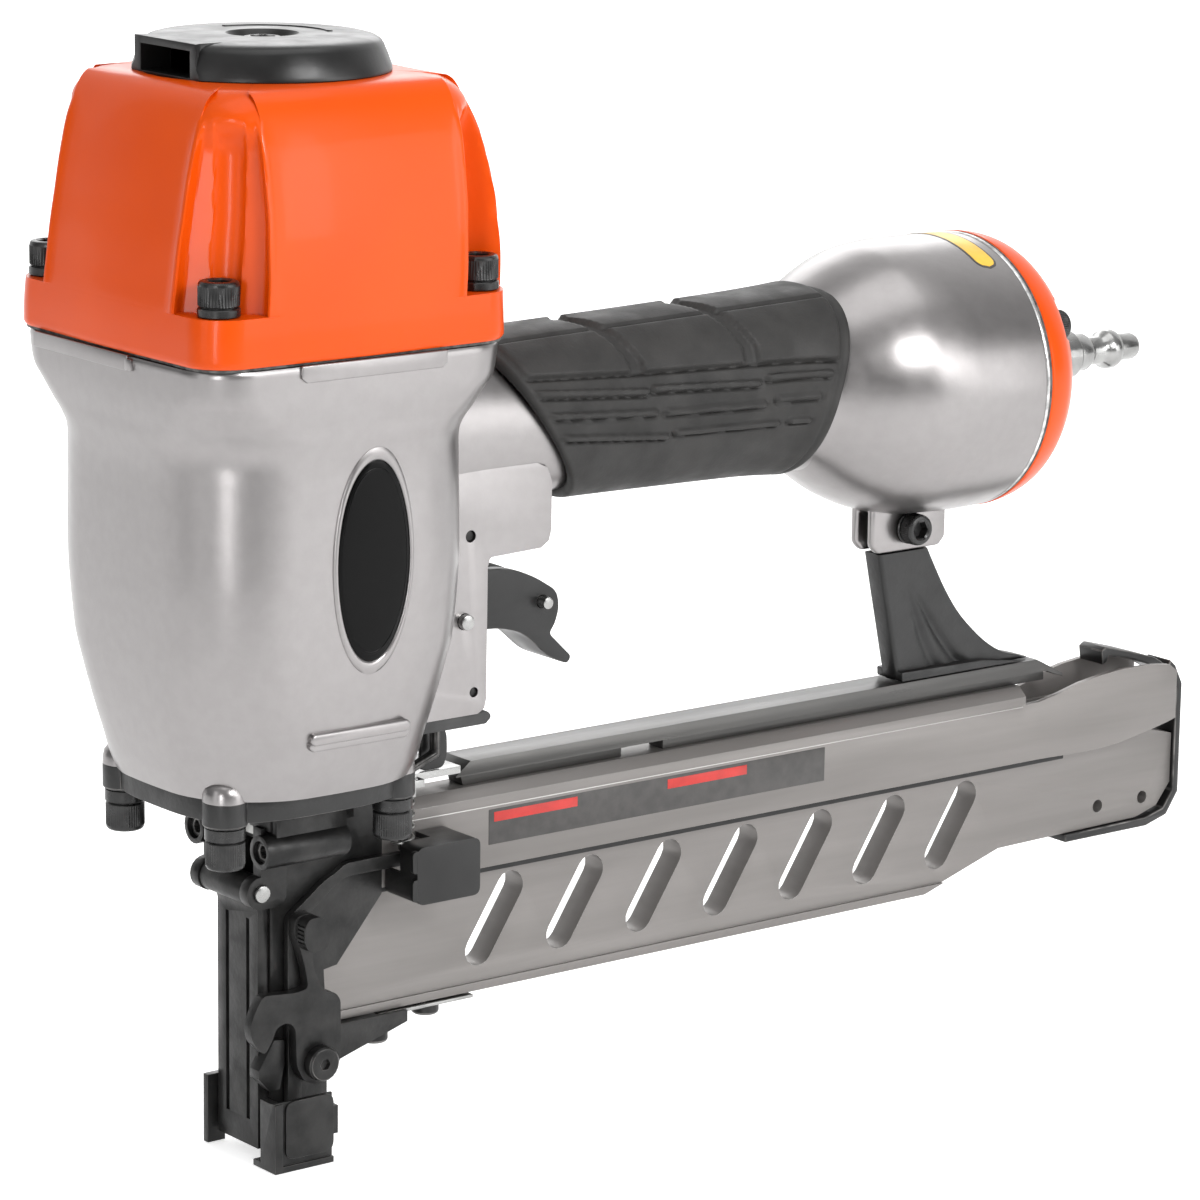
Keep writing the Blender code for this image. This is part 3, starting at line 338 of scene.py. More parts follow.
def rounded(outline, radius, steps=5):
    """The same closed outline with an arc at each corner, smaller where the sides are short."""
    points = []
    count = len(outline)
    for i in range(count):
        here = Vector(outline[i])
        before = Vector(outline[i - 1]) - here
        after = Vector(outline[(i + 1) % count]) - here
        cut = min(radius, before.length * 0.48, after.length * 0.48)
        start = here + before.normalized() * cut
        end = here + after.normalized() * cut
        for k in range(steps + 1):
            t = k / steps
            at = start * (1 - t) ** 2 + here * (2 * t * (1 - t)) + end * t**2
            points.append((at.x, at.y))
    return points


def plate(outline, radius, low, high):
    """An outline in X and Z with rounded corners, from one Y to another."""
    return prism(rounded(outline, radius), "Y", low, high)


def circle(centre, radius, steps=48, turn=0):
    angles = [turn + 2 * math.pi * i / steps for i in range(steps)]
    return [(centre[0] + radius * math.cos(t), centre[1] + radius * math.sin(t)) for t in angles]


def rod(axis, centre, radius, low, high, steps=40):
    return prism(circle(centre, radius, steps), axis, low, high)


def revolve(axis, centre, profile, steps=64, loop=False):
    rings = [[place(axis, at, a, b) for a, b in circle(centre, radius, steps)] for at, radius in profile]
    return skin(rings, loop)


def curve_table(table, at):
    """The table's columns at this place, on a smooth curve that doesn't overshoot between rows."""
    keys = [row[0] for row in table]
    at = min(max(at, keys[0]), keys[-1])
    i = max(0, min(len(keys) - 2, sum(k <= at for k in keys) - 1))
    span = keys[i + 1] - keys[i]
    t = (at - keys[i]) / span
    out = []
    for values in list(zip(*table))[1:]:
        slopes = [(b - a) / (q - p) for a, b, p, q in zip(values, values[1:], keys, keys[1:])]
        slopes = [slopes[0], *slopes, slopes[-1]]
        tangents = []
        for before, after in ((slopes[i], slopes[i + 1]), (slopes[i + 1], slopes[i + 2])):
            tangents.append(0 if before * after <= 0 else 2 * before * after / (before + after))
        ends = values[i] * (2 * t**3 - 3 * t**2 + 1) + values[i + 1] * (3 * t**2 - 2 * t**3)
        out.append(ends + span * (tangents[0] * (t**3 - 2 * t**2 + t) + tangents[1] * (t**3 - t**2)))
    return out


def smoothstep(low, high, x):
    t = min(max((x - low) / (high - low), 0), 1)
    return t * t * (3 - 2 * t)


def hump(gap, width):
    """A bell curve that is 1 in its middle."""
    return math.exp(-((gap / width) ** 2))


def round_off(share):
    """How far a rounded edge falls back: 1 at the edge, 0 from a share of 1 inwards."""
    return 1 - math.sqrt(max(0, 1 - (1 - min(share, 1)) ** 2))


def steps_between(low, high, count):
    return [low + (high - low) * i / (count - 1) for i in range(count)]


# Objects


def mesh_object(name, shape):
    points, faces = shape
    mesh = bpy.data.meshes.new(name)
    mesh.from_pydata([(x * MM, y * MM, z * MM) for x, y, z in points], [], faces)
    work = bmesh.new()
    work.from_mesh(mesh)
    bmesh.ops.remove_doubles(work, verts=work.verts, dist=1e-7)
    bmesh.ops.recalc_face_normals(work, faces=work.faces)
    work.to_mesh(mesh)
    work.free()
    obj = bpy.data.objects.new(name, mesh)
    scene.collection.objects.link(obj)
    return obj


def bake(obj):
    """Replaces the object's mesh with what its modifiers make of it."""
    graph = bpy.context.evaluated_depsgraph_get()
    graph.update()
    mesh = bpy.data.meshes.new_from_object(obj.evaluated_get(graph))
    obj.modifiers.clear()
    old = obj.data
    obj.data = mesh
    bpy.data.meshes.remove(old)


def finish_piece(obj, mat, replaces=(), sharp=34, slot=None, body="frame"):
    obj.data.materials.clear()
    obj.data.materials.append(MATS[mat])
    obj.data.shade_smooth()
    obj.data.set_sharp_from_angle(angle=math.radians(sharp))
    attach(obj, body)
    if replaces:
        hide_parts(*replaces)


def shell(name, mat, shape, *options, **named):
    """One piece that is a finished shape already."""
    finish_piece(mesh_object(name, shape), mat, *options, **named)


def bevel_edges(obj, width, segments, degrees):
    step = obj.modifiers.new("bevel", "BEVEL")
    step.width = width * MM
    step.segments = segments
    step.limit_method = "ANGLE"
    step.angle_limit = math.radians(degrees)
    return step


def solid(name, mat, shape, add=(), cut=(), late=(), bevel=0.4, segments=2, edge=None, **finish):
    """One piece: a starting shape, shapes fused to it, shapes cut from it, then its edges rounded."""
    obj = mesh_object(name, shape)
    helpers = []
    steps = [(s, "UNION") for s in add] + [(s, "DIFFERENCE") for s in cut] + list(late)
    for number, (extra, operation) in enumerate(steps):
        helper = mesh_object(f"helper_{name}_{number}", extra)
        helper.hide_render = True
        helpers.append(helper)
        step = obj.modifiers.new(operation.lower(), "BOOLEAN")
        step.operation = operation
        step.solver = "EXACT"
        step.object = helper
    if steps:
        bake(obj)
    for helper in helpers:
        mesh = helper.data
        bpy.data.objects.remove(helper)
        bpy.data.meshes.remove(mesh)
    work = bmesh.new()
    work.from_mesh(obj.data)
    bmesh.ops.remove_doubles(work, verts=work.verts, dist=2e-6)
    bmesh.ops.dissolve_limit(work, angle_limit=math.radians(0.6), verts=work.verts, edges=work.edges)
    work.to_mesh(obj.data)
    work.free()
    if bevel:
        obj.data.shade_smooth()
        step = bevel_edges(obj, bevel, segments, 28)
        if edge:
            obj.data.materials.clear()
            obj.data.materials.append(MATS[mat])
            obj.data.materials.append(MATS[edge])
            step.material = 1
        bake(obj)
    bands = [face.material_index for face in obj.data.polygons]
    finish_piece(obj, mat, **finish)
    if edge:
        obj.data.materials.append(MATS[edge])
        obj.data.polygons.foreach_set("material_index", bands)


def shade_node_group():
    """Geometry nodes that shade a CAD mesh smooth, apart from its sharp edges."""
    group = bpy.data.node_groups.new("smooth_by_angle", "GeometryNodeTree")
    for way in ("INPUT", "OUTPUT"):
        group.interface.new_socket("Geometry", in_out=way, socket_type="NodeSocketGeometry")
    start = add_node(group, "NodeGroupInput")
    angle = add_node(group, "GeometryNodeInputMeshEdgeAngle")
    test = add_node(group, "FunctionNodeCompare", data_type="FLOAT", operation="LESS_EQUAL")
    group.links.new(angle.outputs["Unsigned Angle"], test.inputs[0])
    test.inputs[1].default_value = math.radians(32)
    faces = add_node(group, "GeometryNodeSetShadeSmooth", [(0, start.outputs[0])], domain="FACE")
    inputs = [(0, faces.outputs[0]), ("Shade Smooth", test.outputs[0])]
    edges = add_node(group, "GeometryNodeSetShadeSmooth", inputs, domain="EDGE")
    add_node(group, "NodeGroupOutput", [(0, edges.outputs[0])])
    return group


def dress(name, mat, bevel=0.35, edge=None):
    """A CAD node that stays: its material, and rounded edges by modifiers, worn ones where edge is given."""
    obj = nodes[name]
    if not obj.material_slots:
        obj.data.materials.append(MATS[mat])
    for slot in obj.material_slots:
        slot.material = MATS[mat]
    weld = obj.modifiers.new("weld", "WELD")
    weld.merge_threshold = 2e-6
    flat = obj.modifiers.new("flat", "DECIMATE")
    flat.decimate_type = "DISSOLVE"
    flat.angle_limit = math.radians(0.6)
    if bevel:
        step = bevel_edges(obj, bevel, 2, 30)
        if edge:
            obj.data.materials.append(MATS[edge])
            step.material = len(obj.material_slots) - 1
    smooth = obj.modifiers.new("smooth", "NODES")
    smooth.node_group = SMOOTH


# Head: height, half width and corner radius, and for the cap a shift along X

CASTING = [
    (97, 33, 23.5), (101, 34.6, 25), (108, 36.4, 26.5), (116, 38, 26), (124, 39.1, 24.4),
    (133, 39.9, 22.2), (150, 40.8, 22), (161, 41, 22.6), (170, 41.1, 23.4), (177, 41.4, 24.6),
    (184, 42.4, 27.5), (187, 43, 26.2), (190, 43.4, 22.5), (194, 44.1, 19), (198, 44.5, 14.5),
    (201, 44.6, 13.5), (205, 44.7, 13), (205.9, 44.4, 12.8),
]
CAP = [
    (206.8, 44.5, 10, 0), (207.6, 44.95, 10, 0), (212, 44.9, 10, 0),
    (218.4, 44.65, 10, 0.2), (226, 44.25, 10, 0.8), (234, 43.55, 10, 1.2),
    (242, 42.6, 10.5, 1.7), (250, 41.3, 11, 1.8), (256, 40.1, 11.5, 1.9), (261, 38.8, 12, 1.9),
    (265, 37.4, 12.5, 1.8), (267.4, 36.1, 13, 1.7), (269, 34.7, 13.5, 1.6), (269.9, 33.2, 13.5, 1.4),
]
BARREL_CROWN, CAP_CROWN = 0.9, 0.7  # how much the middle of a side stands out
RIDGE = 28.2  # where a side of the cap ends in the ridge of a corner pocket
WALL_AT = 5.6  # how far from the corner a pocket ends on the handle side
SIDE_STEPS = (0.25, 0.5, 0.7, 0.85, 0.92, 0.96, 0.985)
CAP_SCREW_AT = 37.5


def turn_quarter(points, quarter, centre_x, half, crown, z):
    """A quarter of a ring turned into place, its side swelling by the crown."""
    turn = quarter * math.pi / 2
    cos, sin = round(math.cos(turn)), round(math.sin(turn))
    out = []
    for a, b in points:
        swell = 1 + crown / half * math.cos(2 * math.atan2(b, a)) ** 2
        out.append((centre_x + (a * cos - b * sin) * swell, (a * sin + b * cos) * swell, z))
    return out


def square_ring(z, half, corner):
    """A rounded square with lightly crowned sides, always with the same number of points."""
    inner = half - corner
    quarter = [(half, v) for v in steps_between(-inner, inner, 9)[1:-1]]
    for a in steps_between(0, math.pi / 2, 13):
        quarter.append((inner + corner * math.cos(a), inner + corner * math.sin(a)))
    return [p for number in range(4) for p in turn_quarter(quarter, number, HEAD_X, half, BARREL_CROWN, z)]


def cap_ring(z, pocket=1):
    """One level of the cap: crowned sides, and at each corner a pocket between two soft ridges.

    On the handle side a thin wall closes each pocket, so its ridge stands close to the corner.
    """
    half, corner, shift = curve_table(CAP, z)
    root = math.sqrt(2)
    reach = (half - RIDGE) / root
    side = [-s * RIDGE for s in reversed(SIDE_STEPS)] + [0] + [s * RIDGE for s in SIDE_STEPS]
    fade = pocket * (1 - smoothstep(256.5, 265.5, z))
    flat_at = 49 - (z - 218.6) * 0.066
    ring = []
    for quarter in range(4):
        limits = {0: (-WALL_AT, reach), 3: (-reach, WALL_AT)}.get(quarter, (-reach, reach))
        local = [(half + 0.4 * fade * hump(RIDGE - abs(v), 1.4), v) for v in side]
        for t in steps_between(-reach, reach, 49):
            outer = half * root - abs(t)
            if abs(t) < corner / root:
                outer = (half - corner) * root + math.sqrt(corner**2 - t * t)
            floor = flat_at - 1.6 * math.sqrt(max(0, 1 - (t / 3.7) ** 2))
            gap = min(t - limits[0], limits[1] - t)
            depth = (min(outer, floor) - outer) * smoothstep(0, 1.7, gap) * fade
            along = outer + depth + 0.4 * fade * hump(gap, 0.9)
            local.append(((along - t) / root, (along + t) / root))
        ring += turn_quarter(local, quarter, HEAD_X + shift, half, CAP_CROWN, z)
    return ring


def build_cap():
    levels = (206.8, 207.1, 207.6, 208.6, 210.2, 212, 213.8, 215.4, 216.6, 217.6, 218.1)
    rings = [cap_ring(z, 0) for z in levels]
    rings.append(cap_ring(218.5, 0))
    rings.append([(x, y, 218.62) for x, y, _ in cap_ring(218.7)])
    levels = [219, 219.6, 220.6] + steps_between(222.5, 258.5, 19) + steps_between(260, 268, 11)
    rings += [cap_ring(z) for z in levels + [268.7, 269.3, 269.8]]
    top = rings[-1]
    seat = [(30.6, 270.3, 0.35), (30.6, 270.5, 0.75), (30.6, 270.6, 1), (29.6, 270.5, 1)]
    seat += [(29, 270, 1), (28.7, 269, 1), (28.5, 267, 1), (20, 266.9, 1), (4, 266.9, 1)]
    for radius, z, blend in seat:
        ring = []
        for x, y, _ in top:
            angle = math.atan2(y, x - HEAD_X)
            px, py = HEAD_X + radius * math.cos(angle), radius * math.sin(angle)
            ring.append((x + (px - x) * blend, y + (py - y) * blend, z))
        rings.append(ring)
    shell("cap_shell", "orange_gloss", skin(rings), ["cylinder_cap"], 40)


def head_bore():
    return revolve(*HEAD_AXIS, [(104, 29), (112, 31.5), (140, 36), (215, 36)], 48)


def floor_hole():
    return rod(*HEAD_AXIS, 11, 90, 110)


def build_barrel():
    levels = steps_between(97, 172, 30) + steps_between(174, 198, 25) + [200, 202, 204, 205, 205.5, 205.9]
    rings = [square_ring(z, *curve_table(CASTING, z)) for z in levels]
    solid("barrel_shell", "cast_silver", skin(rings), cut=[head_bore(), floor_hole()], bevel=0,
          replaces=["body_casting"], sharp=50)
    face = curve_table(CASTING, 203)[0] + BARREL_CROWN
    bar = [(-16.5, 202), (23, 202), (24.2, 203), (24.2, 206.2), (-18, 206.2), (-18, 203.2)]
    shape = prism(bar, "Y", -face - 0.35, -face + 2.5)
    solid("flange_ledge_right", "cast_silver", shape, bevel=0.3, segments=3)
    shape = box((HEAD_X - face - 0.35, HEAD_X - face + 2.5), (-10.5, 32), (202.4, 206.2))
    solid("flange_ledge_front", "cast_silver", shape, bevel=0.3, segments=3)
    shape = box((HEAD_X - face - 0.6, HEAD_X - face + 2), (-12.4, -9.6), (202.6, 205.6))
    solid("flange_tab", "cast_silver", shape)
    bar = [(-10, 111.4), (17.5, 111.4), (18.5, 112.4), (18.5, 113.4)]
    bar += [(17.5, 114.4), (-10, 114.4), (-11, 113.4), (-11, 112.4)]
    half = curve_table(CASTING, 112.9)[0] + BARREL_CROWN
    for number, (drop, out) in enumerate(((0, 0.9), (-1.6, 0.4))):
        shape = prism([(x, z + drop) for x, z in bar], "Y", -half - out - 0.3, -half + 2)
        solid(f"cast_bar_{number}", "cast_silver", shape, bevel=0.5, segments=3)


def barrel_side(x, z):
    """y of the barrel's near side at this place."""
    half = curve_table(CASTING, z)[0]
    return -half * (1 + BARREL_CROWN / half * math.cos(2 * math.atan2((x - HEAD_X) / half, 1)) ** 2)


def build_badge():
    """A domed black oval in a raised rim, without any lettering. Rows are share of its size, and lift."""
    cx, cz, hx, hz = 5.6, 155.8, 10.6, 25

    def oval(rows):
        rings = []
        for share, lift in rows:
            around = [(cx + a * hx, cz + b * hz) for a, b in circle((0, 0), share, 72)]
            rings.append([(x, barrel_side(x, z) - lift, z) for x, z in around])
        return skin(rings)

    rim = [(1.13, -0.6), (1.13, 0.1), (1.09, 0.55), (1.045, 0.6), (1.02, 0.5), (1, 0.2), (0.99, -0.6)]
    shell("badge_rim", "cast_silver", oval(rim), sharp=60)
    face = [(1, -0.4), (1, 0.15), (0.985, 0.3), (0.9, 0.42), (0.7, 0.6), (0.45, 0.72), (0.2, 0.78)]
    shell("badge_face", "badge_black", oval(face + [(0.02, 0.8)]), ["badge"], 60)
    line = [(0.93, 0.35), (0.925, 0.47), (0.905, 0.49), (0.9, 0.38)]
    shell("badge_line", "badge_black", oval(line), sharp=60)


# Handle: x, height of its middle, half width and half height. Bell: x, radius and height of its middle

HANDLE = [
    (30, 176, 25, 30), (38, 176.2, 20.5, 26), (43, 176.6, 17.9, 23),
    (50, 176.9, 17.5, 22.3), (58, 177, 17.5, 21.9), (80, 176.4, 17.6, 19.6),
    (115, 175, 16, 18), (150, 174, 16.5, 18.6), (166, 174.5, 18.5, 21),
    (182, 174.7, 22, 23),
]
TAIL = [
    (160, 18.5, 176.4), (168, 21.6, 176.2), (176, 27.5, 176.1), (184, 32.3, 175.9),
    (194, 36, 175.6), (206, 37.6, 175), (218, 37.8, 174.7), (226, 37.6, 174.6),
    (229, 37.45, 174.6),
]
VALVE_AXIS = ("Z", (68, 0))
TRIGGER_PIN, BLOCK_PIN, LOWER_PIN = (51.6, 129.9), (53.4, 151.6), (54.7, 111.2)
ARM_BOLT = (209.6, 133.4)


def oval_ring(x, z, half_w, half_h, steps=24, slant=0, power=0.8):
    ring = []
    for i in range(steps):
        angle = 2 * math.pi * i / steps
        c = math.cos(angle)
        s = math.sin(angle)
        y = half_w * math.copysign(abs(c) ** power, c)
        up = half_h * math.copysign(abs(s) ** power, s)
        ring.append((x - slant * up / half_h, y, z + up))
    return ring


def build_handle():
    rings = [oval_ring(x, *curve_table(HANDLE, x), 96, power=1) for x in steps_between(30, 182, 77)]
    hollow = HANDLE[4:-1] + [(186, 174.7, 20, 22)]
    passage = skin([oval_ring(x, z, w - 4.5, h - 4.5, 36, power=1) for x, z, w, h in hollow])
    valve_bore = rod(*VALVE_AXIS, 8.3, 140, 165, 32)
    solid("handle_neck", "cast_silver", skin(rings), cut=[passage, valve_bore], bevel=0,
          replaces=["body_casting"], sharp=50)
    block = [(30, 145.4), (58, 145.4), (75.5, 146), (78, 147.6), (78.8, 150.5), (78.8, 163)]
    block += [(77.4, 166.6), (74, 168.2), (30, 168.2)]
    fork = [(28, 105.4), (56, 105.4), (58, 106.6), (58.6, 109), (58.8, 143)]
    fork += [(59.4, 145), (61.5, 146.6), (61.5, 152), (28, 152)]
    fork_gap = box((42.5, 66), (-12.6, 12.6), (100, 145.6))
    pins = ((TRIGGER_PIN, 2.15), (BLOCK_PIN, 1.55), (LOWER_PIN, 1.3))
    holes = [rod("Y", at, radius, -20, 20, 24) for at, radius in pins]
    solid("valve_block", "cast_silver", prism(block, "Y", -16, 16), add=[prism(fork, "Y", -16, 16)],
          cut=[head_bore(), fork_gap, valve_bore, *holes], bevel=1.1, segments=4, replaces=["body_casting"])
    for sign, tag in ((-1, "near"), (1, "far")):
        for kind, at, radius, start in (("block", BLOCK_PIN, 1.45, 12), ("lower", LOWER_PIN, 1.2, 12.8)):
            pin = rod("Y", at, radius, *sorted((sign * start, sign * 15.4)), 24)
            solid(f"{kind}_pins_{tag}", "black_steel", pin, bevel=0.3)
    rings = []
    for x in steps_between(162, 228.2, 56) + [228.8, 229]:
        r, z = curve_table(TAIL, x)
        r -= 0.25 if x == 229 else 0
        rings.append([(x, y, up) for y, up in circle((0, z), r, 96)])
    for x, r in ((228.9, 33.6), (204, 33.6), (190, 28.5), (180, 20), (172, 14), (163, 13)):
        rings.append([(x, y, up) for y, up in circle((0, TAIL_Z), r, 96)])
    bell = skin(rings, loop=True)
    shell("tail_bell", "cast_silver", bell, ["body_casting"], 50)
    edge = [(228.6, 37.4), (228.9, 37.65), (229.5, 37.65), (229.8, 37.4), (229.8, 34), (228.6, 34)]
    edge = revolve(*TAIL_AXIS, edge, 96, loop=True)
    shell("tail_rim", "machined_edge", edge, sharp=40, slot="cast_silver")
    seal = [(229.6, 37.3), (229.6, 37.55), (230.4, 37.55), (230.4, 34), (229.6, 34)]
    shell("tail_seal", "gasket", revolve(*TAIL_AXIS, seal, 96, loop=True), sharp=40)
    lug = [(198.8, 127), (221.2, 127), (223.4, 129.2), (223.4, 146), (196.4, 146), (196.4, 129.4)]
    arm_slot = box((190, 230), (-2.1, 2.1), (120, 138.6))
    cuts = [arm_slot, rod("Y", ARM_BOLT, 2.7, -20, 20, 24)]
    solid("arm_lug", "cast_silver", prism(lug, "Y", -4.6, 4.6), cut=cuts, bevel=1.3, segments=4,
          replaces=["body_casting"])


# Grip: x, height of its middle, half width, half height and slant. Ribs: x and z of their two ends

GRIP = [
    (74.5, 177.25, 20.6, 21.95, 14), (84, 177.35, 20.3, 22.15, 12), (115, 177.5, 19.5, 22.8, 6),
    (148, 177.8, 20.2, 23.6, -2), (158, 177.9, 21.6, 24, -5), (165.5, 178, 23.8, 24.4, -7.5),
    (168.5, 178, 24.4, 24.6, -8),
]
RIBS = [
    (70, 186.5, 106, 183.6), (109, 184.1, 142.5, 182.3), (146.5, 183.4, 164.5, 183.2),
    (73.6, 180.6, 109, 178), (113.2, 177.6, 144.5, 176.5), (149.6, 177.5, 161, 177.4),
    (76.6, 174.8, 112.6, 171.4), (116.6, 172, 149, 171.2), (153.6, 171.4, 158, 171.4),
]
GRIP_ALONG, GRIP_AROUND = 150, 420  # points of its mesh, few enough that the export keeps them all
GRIP_POWER = 0.82


def grip_lift(x, z, angle, rear):
    """How far the rubber stands out here: ribs below, raised panels above, grooves between."""
    lift = 0
    cut = 0
    for x0, z0, x1, z1 in RIBS:
        t = min(max((x - x0) / (x1 - x0), 0), 1)
        rib_z = z0 + (z1 - z0) * t
        gap = math.hypot((x - (x0 + (x1 - x0) * t)) * 0.8, z - rib_z)
        lift = max(lift, 1.1 * (1 - smoothstep(0.55, 0.95, gap)))
        if z < rib_z:
            cut = max(cut, hump(gap - 1.3, 0.35))
    if angle > 0:
        lean = max(-0.2 * math.degrees(max(angle - math.radians(34), 0)), -11)
        base = 190.8 - (x - 67) * 0.055 if x < 101 else 188.7 - (x - 106) * 0.03
        raised = smoothstep(base - 0.3, base + 0.3, z)
        cut = max(cut, hump(z - base + 0.75, 0.35))
        for edge in (103.6, 140.8):
            raised *= smoothstep(1.9, 2.5, abs(x - (edge + lean)))
        raised *= 1 - 0.85 * hump((angle - math.radians(63.5)) * 20, 0.45)
        lift = max(lift, 1.2 * raised)
    return (lift - 0.7 * cut) * smoothstep(3, 4.4, rear)


def build_grip():
    start, end = GRIP[0][0], GRIP[-1][0]
    rings = []
    for s in steps_between(start, end, GRIP_ALONG):
        z, w, h, slant = curve_table(GRIP, s)
        front = s - start
        rear = min(end - s, 40)
        fall = 0.55 * hump(rear - 3, 0.5) + 1.6 * round_off(front / 1.8) + 1.2 * round_off((end - s) / 1.4)
        ring = []
        for x, y, up in oval_ring(s, z, w, h, GRIP_AROUND, slant, GRIP_POWER):
            lift = grip_lift(x, up, math.atan2((up - z) / h, abs(y) / w), rear)
            out = lift * smoothstep(1.5, 3.5, front) - fall
            a, b = y / w**2, (up - z) / h**2
            ring.append((x, y + out * a / math.hypot(a, b), up + out * b / math.hypot(a, b)))
        rings.append(ring)
    inner = ((end - 0.2, 3.4), (end - 6, 4.5), (150, 2.6), (115, 2.6), (84, 2.6), (start + 0.6, 3))
    for s, thick in inner:
        z, w, h, slant = curve_table(GRIP, s)
        rings.append(oval_ring(s, z, w - thick, h - thick, GRIP_AROUND, slant, GRIP_POWER))
    shell("grip_shell", "grip_rubber", skin(rings, loop=True), ["grip_sleeve"], 70)


# Screws

CORNERS = [(-1, -1), (1, -1), (-1, 1), (1, 1)]
BASE_SCREWS = [(24.9 * sx, 22.6 * sy) for sx, sy in CORNERS]
TAIL_SCREW_ANGLES = [math.radians(angle) for angle in (150, 30, 270)]
TAIL_SCREW_RADIUS = 27.8


def ring_of(kind, radius, teeth=0, count=96):
    """One ring of a screw: round, knurled or six-sided."""
    points = []
    for i in range(count):
        angle = 2 * math.pi * i / count
        r = radius
        if kind == "hex":
            r = radius / math.cos((angle + math.pi / 6) % (math.pi / 3) - math.pi / 6)
        elif kind == "knurl":
            r = radius - (teeth if i % 2 else 0)
        points.append((r * math.cos(angle), r * math.sin(angle)))
    return points


def socket_screw(name, axis, centre, seat, sign, head, shank, washer, turn, replaced):
    """A socket head screw: shank, split washer, knurled head with chamfers and a hexagon socket.

    head and shank are (radius, length), and the head grows from the seat in the direction of sign.
    """
    r, h = head
    sr, sl = shank
    key = r * 0.52
    low = washer + 0.15
    rows = [(-sl, "round", sr * 0.8), (-sl + 0.6, "round", sr), (-0.02, "round", sr)]
    rows += [(0, "round", r * 0.96), (0.25, "round", r * 1.03), (washer - 0.35, "round", r * 1.03)]
    rows += [(washer - 0.1, "round", r * 0.98), (washer, "round", r * 0.88)]
    rows += [(washer + 0.12, "round", r * 0.88), (low, "round", r * 0.93), (low + 0.35, "round", r * 0.995)]
    rows += [(low + 0.5, "knurl", r)]
    rows += [(h - 1.25, "knurl", r), (h - 1.1, "round", r * 0.985), (h - 0.55, "round", r * 0.965)]
    rows += [(h - 0.15, "round", r * 0.9), (h, "round", r * 0.82), (h, "round", key * 1.28)]
    rows += [(h - 0.35, "hex", key), (h - min(h * 0.55, 3.4), "hex", key * 0.99)]
    rows += [(h - min(h * 0.6, 3.9), "round", key * 0.3)]
    cos, sin = math.cos(turn), math.sin(turn)
    rings = []
    for at, kind, radius in rows:
        pts = ring_of(kind, radius, r * 0.035)
        pts = [(a * cos - b * sin + centre[0], a * sin + b * cos + centre[1]) for a, b in pts]
        rings.append([place(axis, seat + sign * at, a, b) for a, b in pts])
    shell(name, "screw_black", skin(rings), [replaced], 26, "black_steel")


def build_screws():
    for number, (sx, sy) in enumerate(CORNERS, 1):
        at = (HEAD_X + sx * CAP_SCREW_AT, sy * CAP_SCREW_AT)
        socket_screw(f"head_screw_{number}", "Z", at, 218.65, 1, (5, 8.5), (2.9, 15.5), 2.2,
                     0.3 * number, f"cap_screw_{number}")
        socket_screw(f"foot_screw_{number}", "Z", BASE_SCREWS[number - 1], 90.3, -1, (4.9, 10.6), (2.9, 11.5),
                     3.4, 0.4 * number, f"base_screw_{number}")
    for number, angle in enumerate(TAIL_SCREW_ANGLES, 1):
        at = (TAIL_SCREW_RADIUS * math.cos(angle), TAIL_Z + TAIL_SCREW_RADIUS * math.sin(angle))
        socket_screw(f"tail_screw_{number}", "X", at, 239.3, 1, (4.3, 6.5), (2, 20), 1.5,
                     0.2, f"end_cap_screw_{number}")
    socket_screw("arm_bolt", "Y", ARM_BOLT, -4.8, -1, (4.3, 5.2), (2.4, 9), 0.9, 0.5, "arm_screw")
    socket_screw("deflector_bolt", *HEAD_AXIS, 274.8, 1, (5.2, 3.6), (2.5, 18), 0.6,
                 0.35, "deflector_screw")


def build_deflector():
    """The swivelling disc on the cap, with its exhaust duct and a raised arc."""
    profile = [(267.3, 27.6), (270.2, 27.8), (270.3, 31.2), (270.8, 31.5), (271.8, 31.4), (274.5, 30.4)]
    profile += [(276.9, 29.4), (277.9, 28.7), (278.6, 27.6), (279, 26), (279.2, 23.5), (279.25, 8)]
    duct = [(-26.2, -13.4), (-24.6, -12.6), (-14, -12.8), (0, -16)]
    duct += [(x, -y) for x, y in reversed(duct)]
    trim = box((-50, -26.2), (-40, 40), (260, 290))
    flow = revolve(*HEAD_AXIS, [(260, 20), (270, 22), (276.2, 22)], 40)
    opening = box((-40, -8), (-10.8, 10.8), (270.9, 277.4))
    late = [
        (revolve(*HEAD_AXIS, [(267.3, 7), (278, 7)], 32), "UNION"),
        (revolve(*HEAD_AXIS, [(277, 7.4), (278.6, 8.4), (281, 10.5)], 48), "DIFFERENCE"),
        (rod(*HEAD_AXIS, 5.5, 274.6, 285), "DIFFERENCE"),
        (rod(*HEAD_AXIS, 2.75, 255, 285), "DIFFERENCE"),
    ]
    solid("deflector_shell", "black_satin", revolve(*HEAD_AXIS, profile, 96),
          add=[prism(duct, "Z", 270.2, 279.2)], cut=[trim, flow, opening], late=late, bevel=0.55, segments=3,
          replaces=["exhaust_deflector"], body="deflector")
    arc = [math.radians(angle) for angle in steps_between(-20, 90, 30)]
    ring = [(HEAD_X + 17.6 * math.cos(t), 17.6 * math.sin(t)) for t in arc]
    ring += [(HEAD_X + 16.2 * math.cos(t), 16.2 * math.sin(t)) for t in reversed(arc)]
    solid("deflector_arc", "black_satin", prism(ring, "Z", 279, 279.5), bevel=0.15, body="deflector")


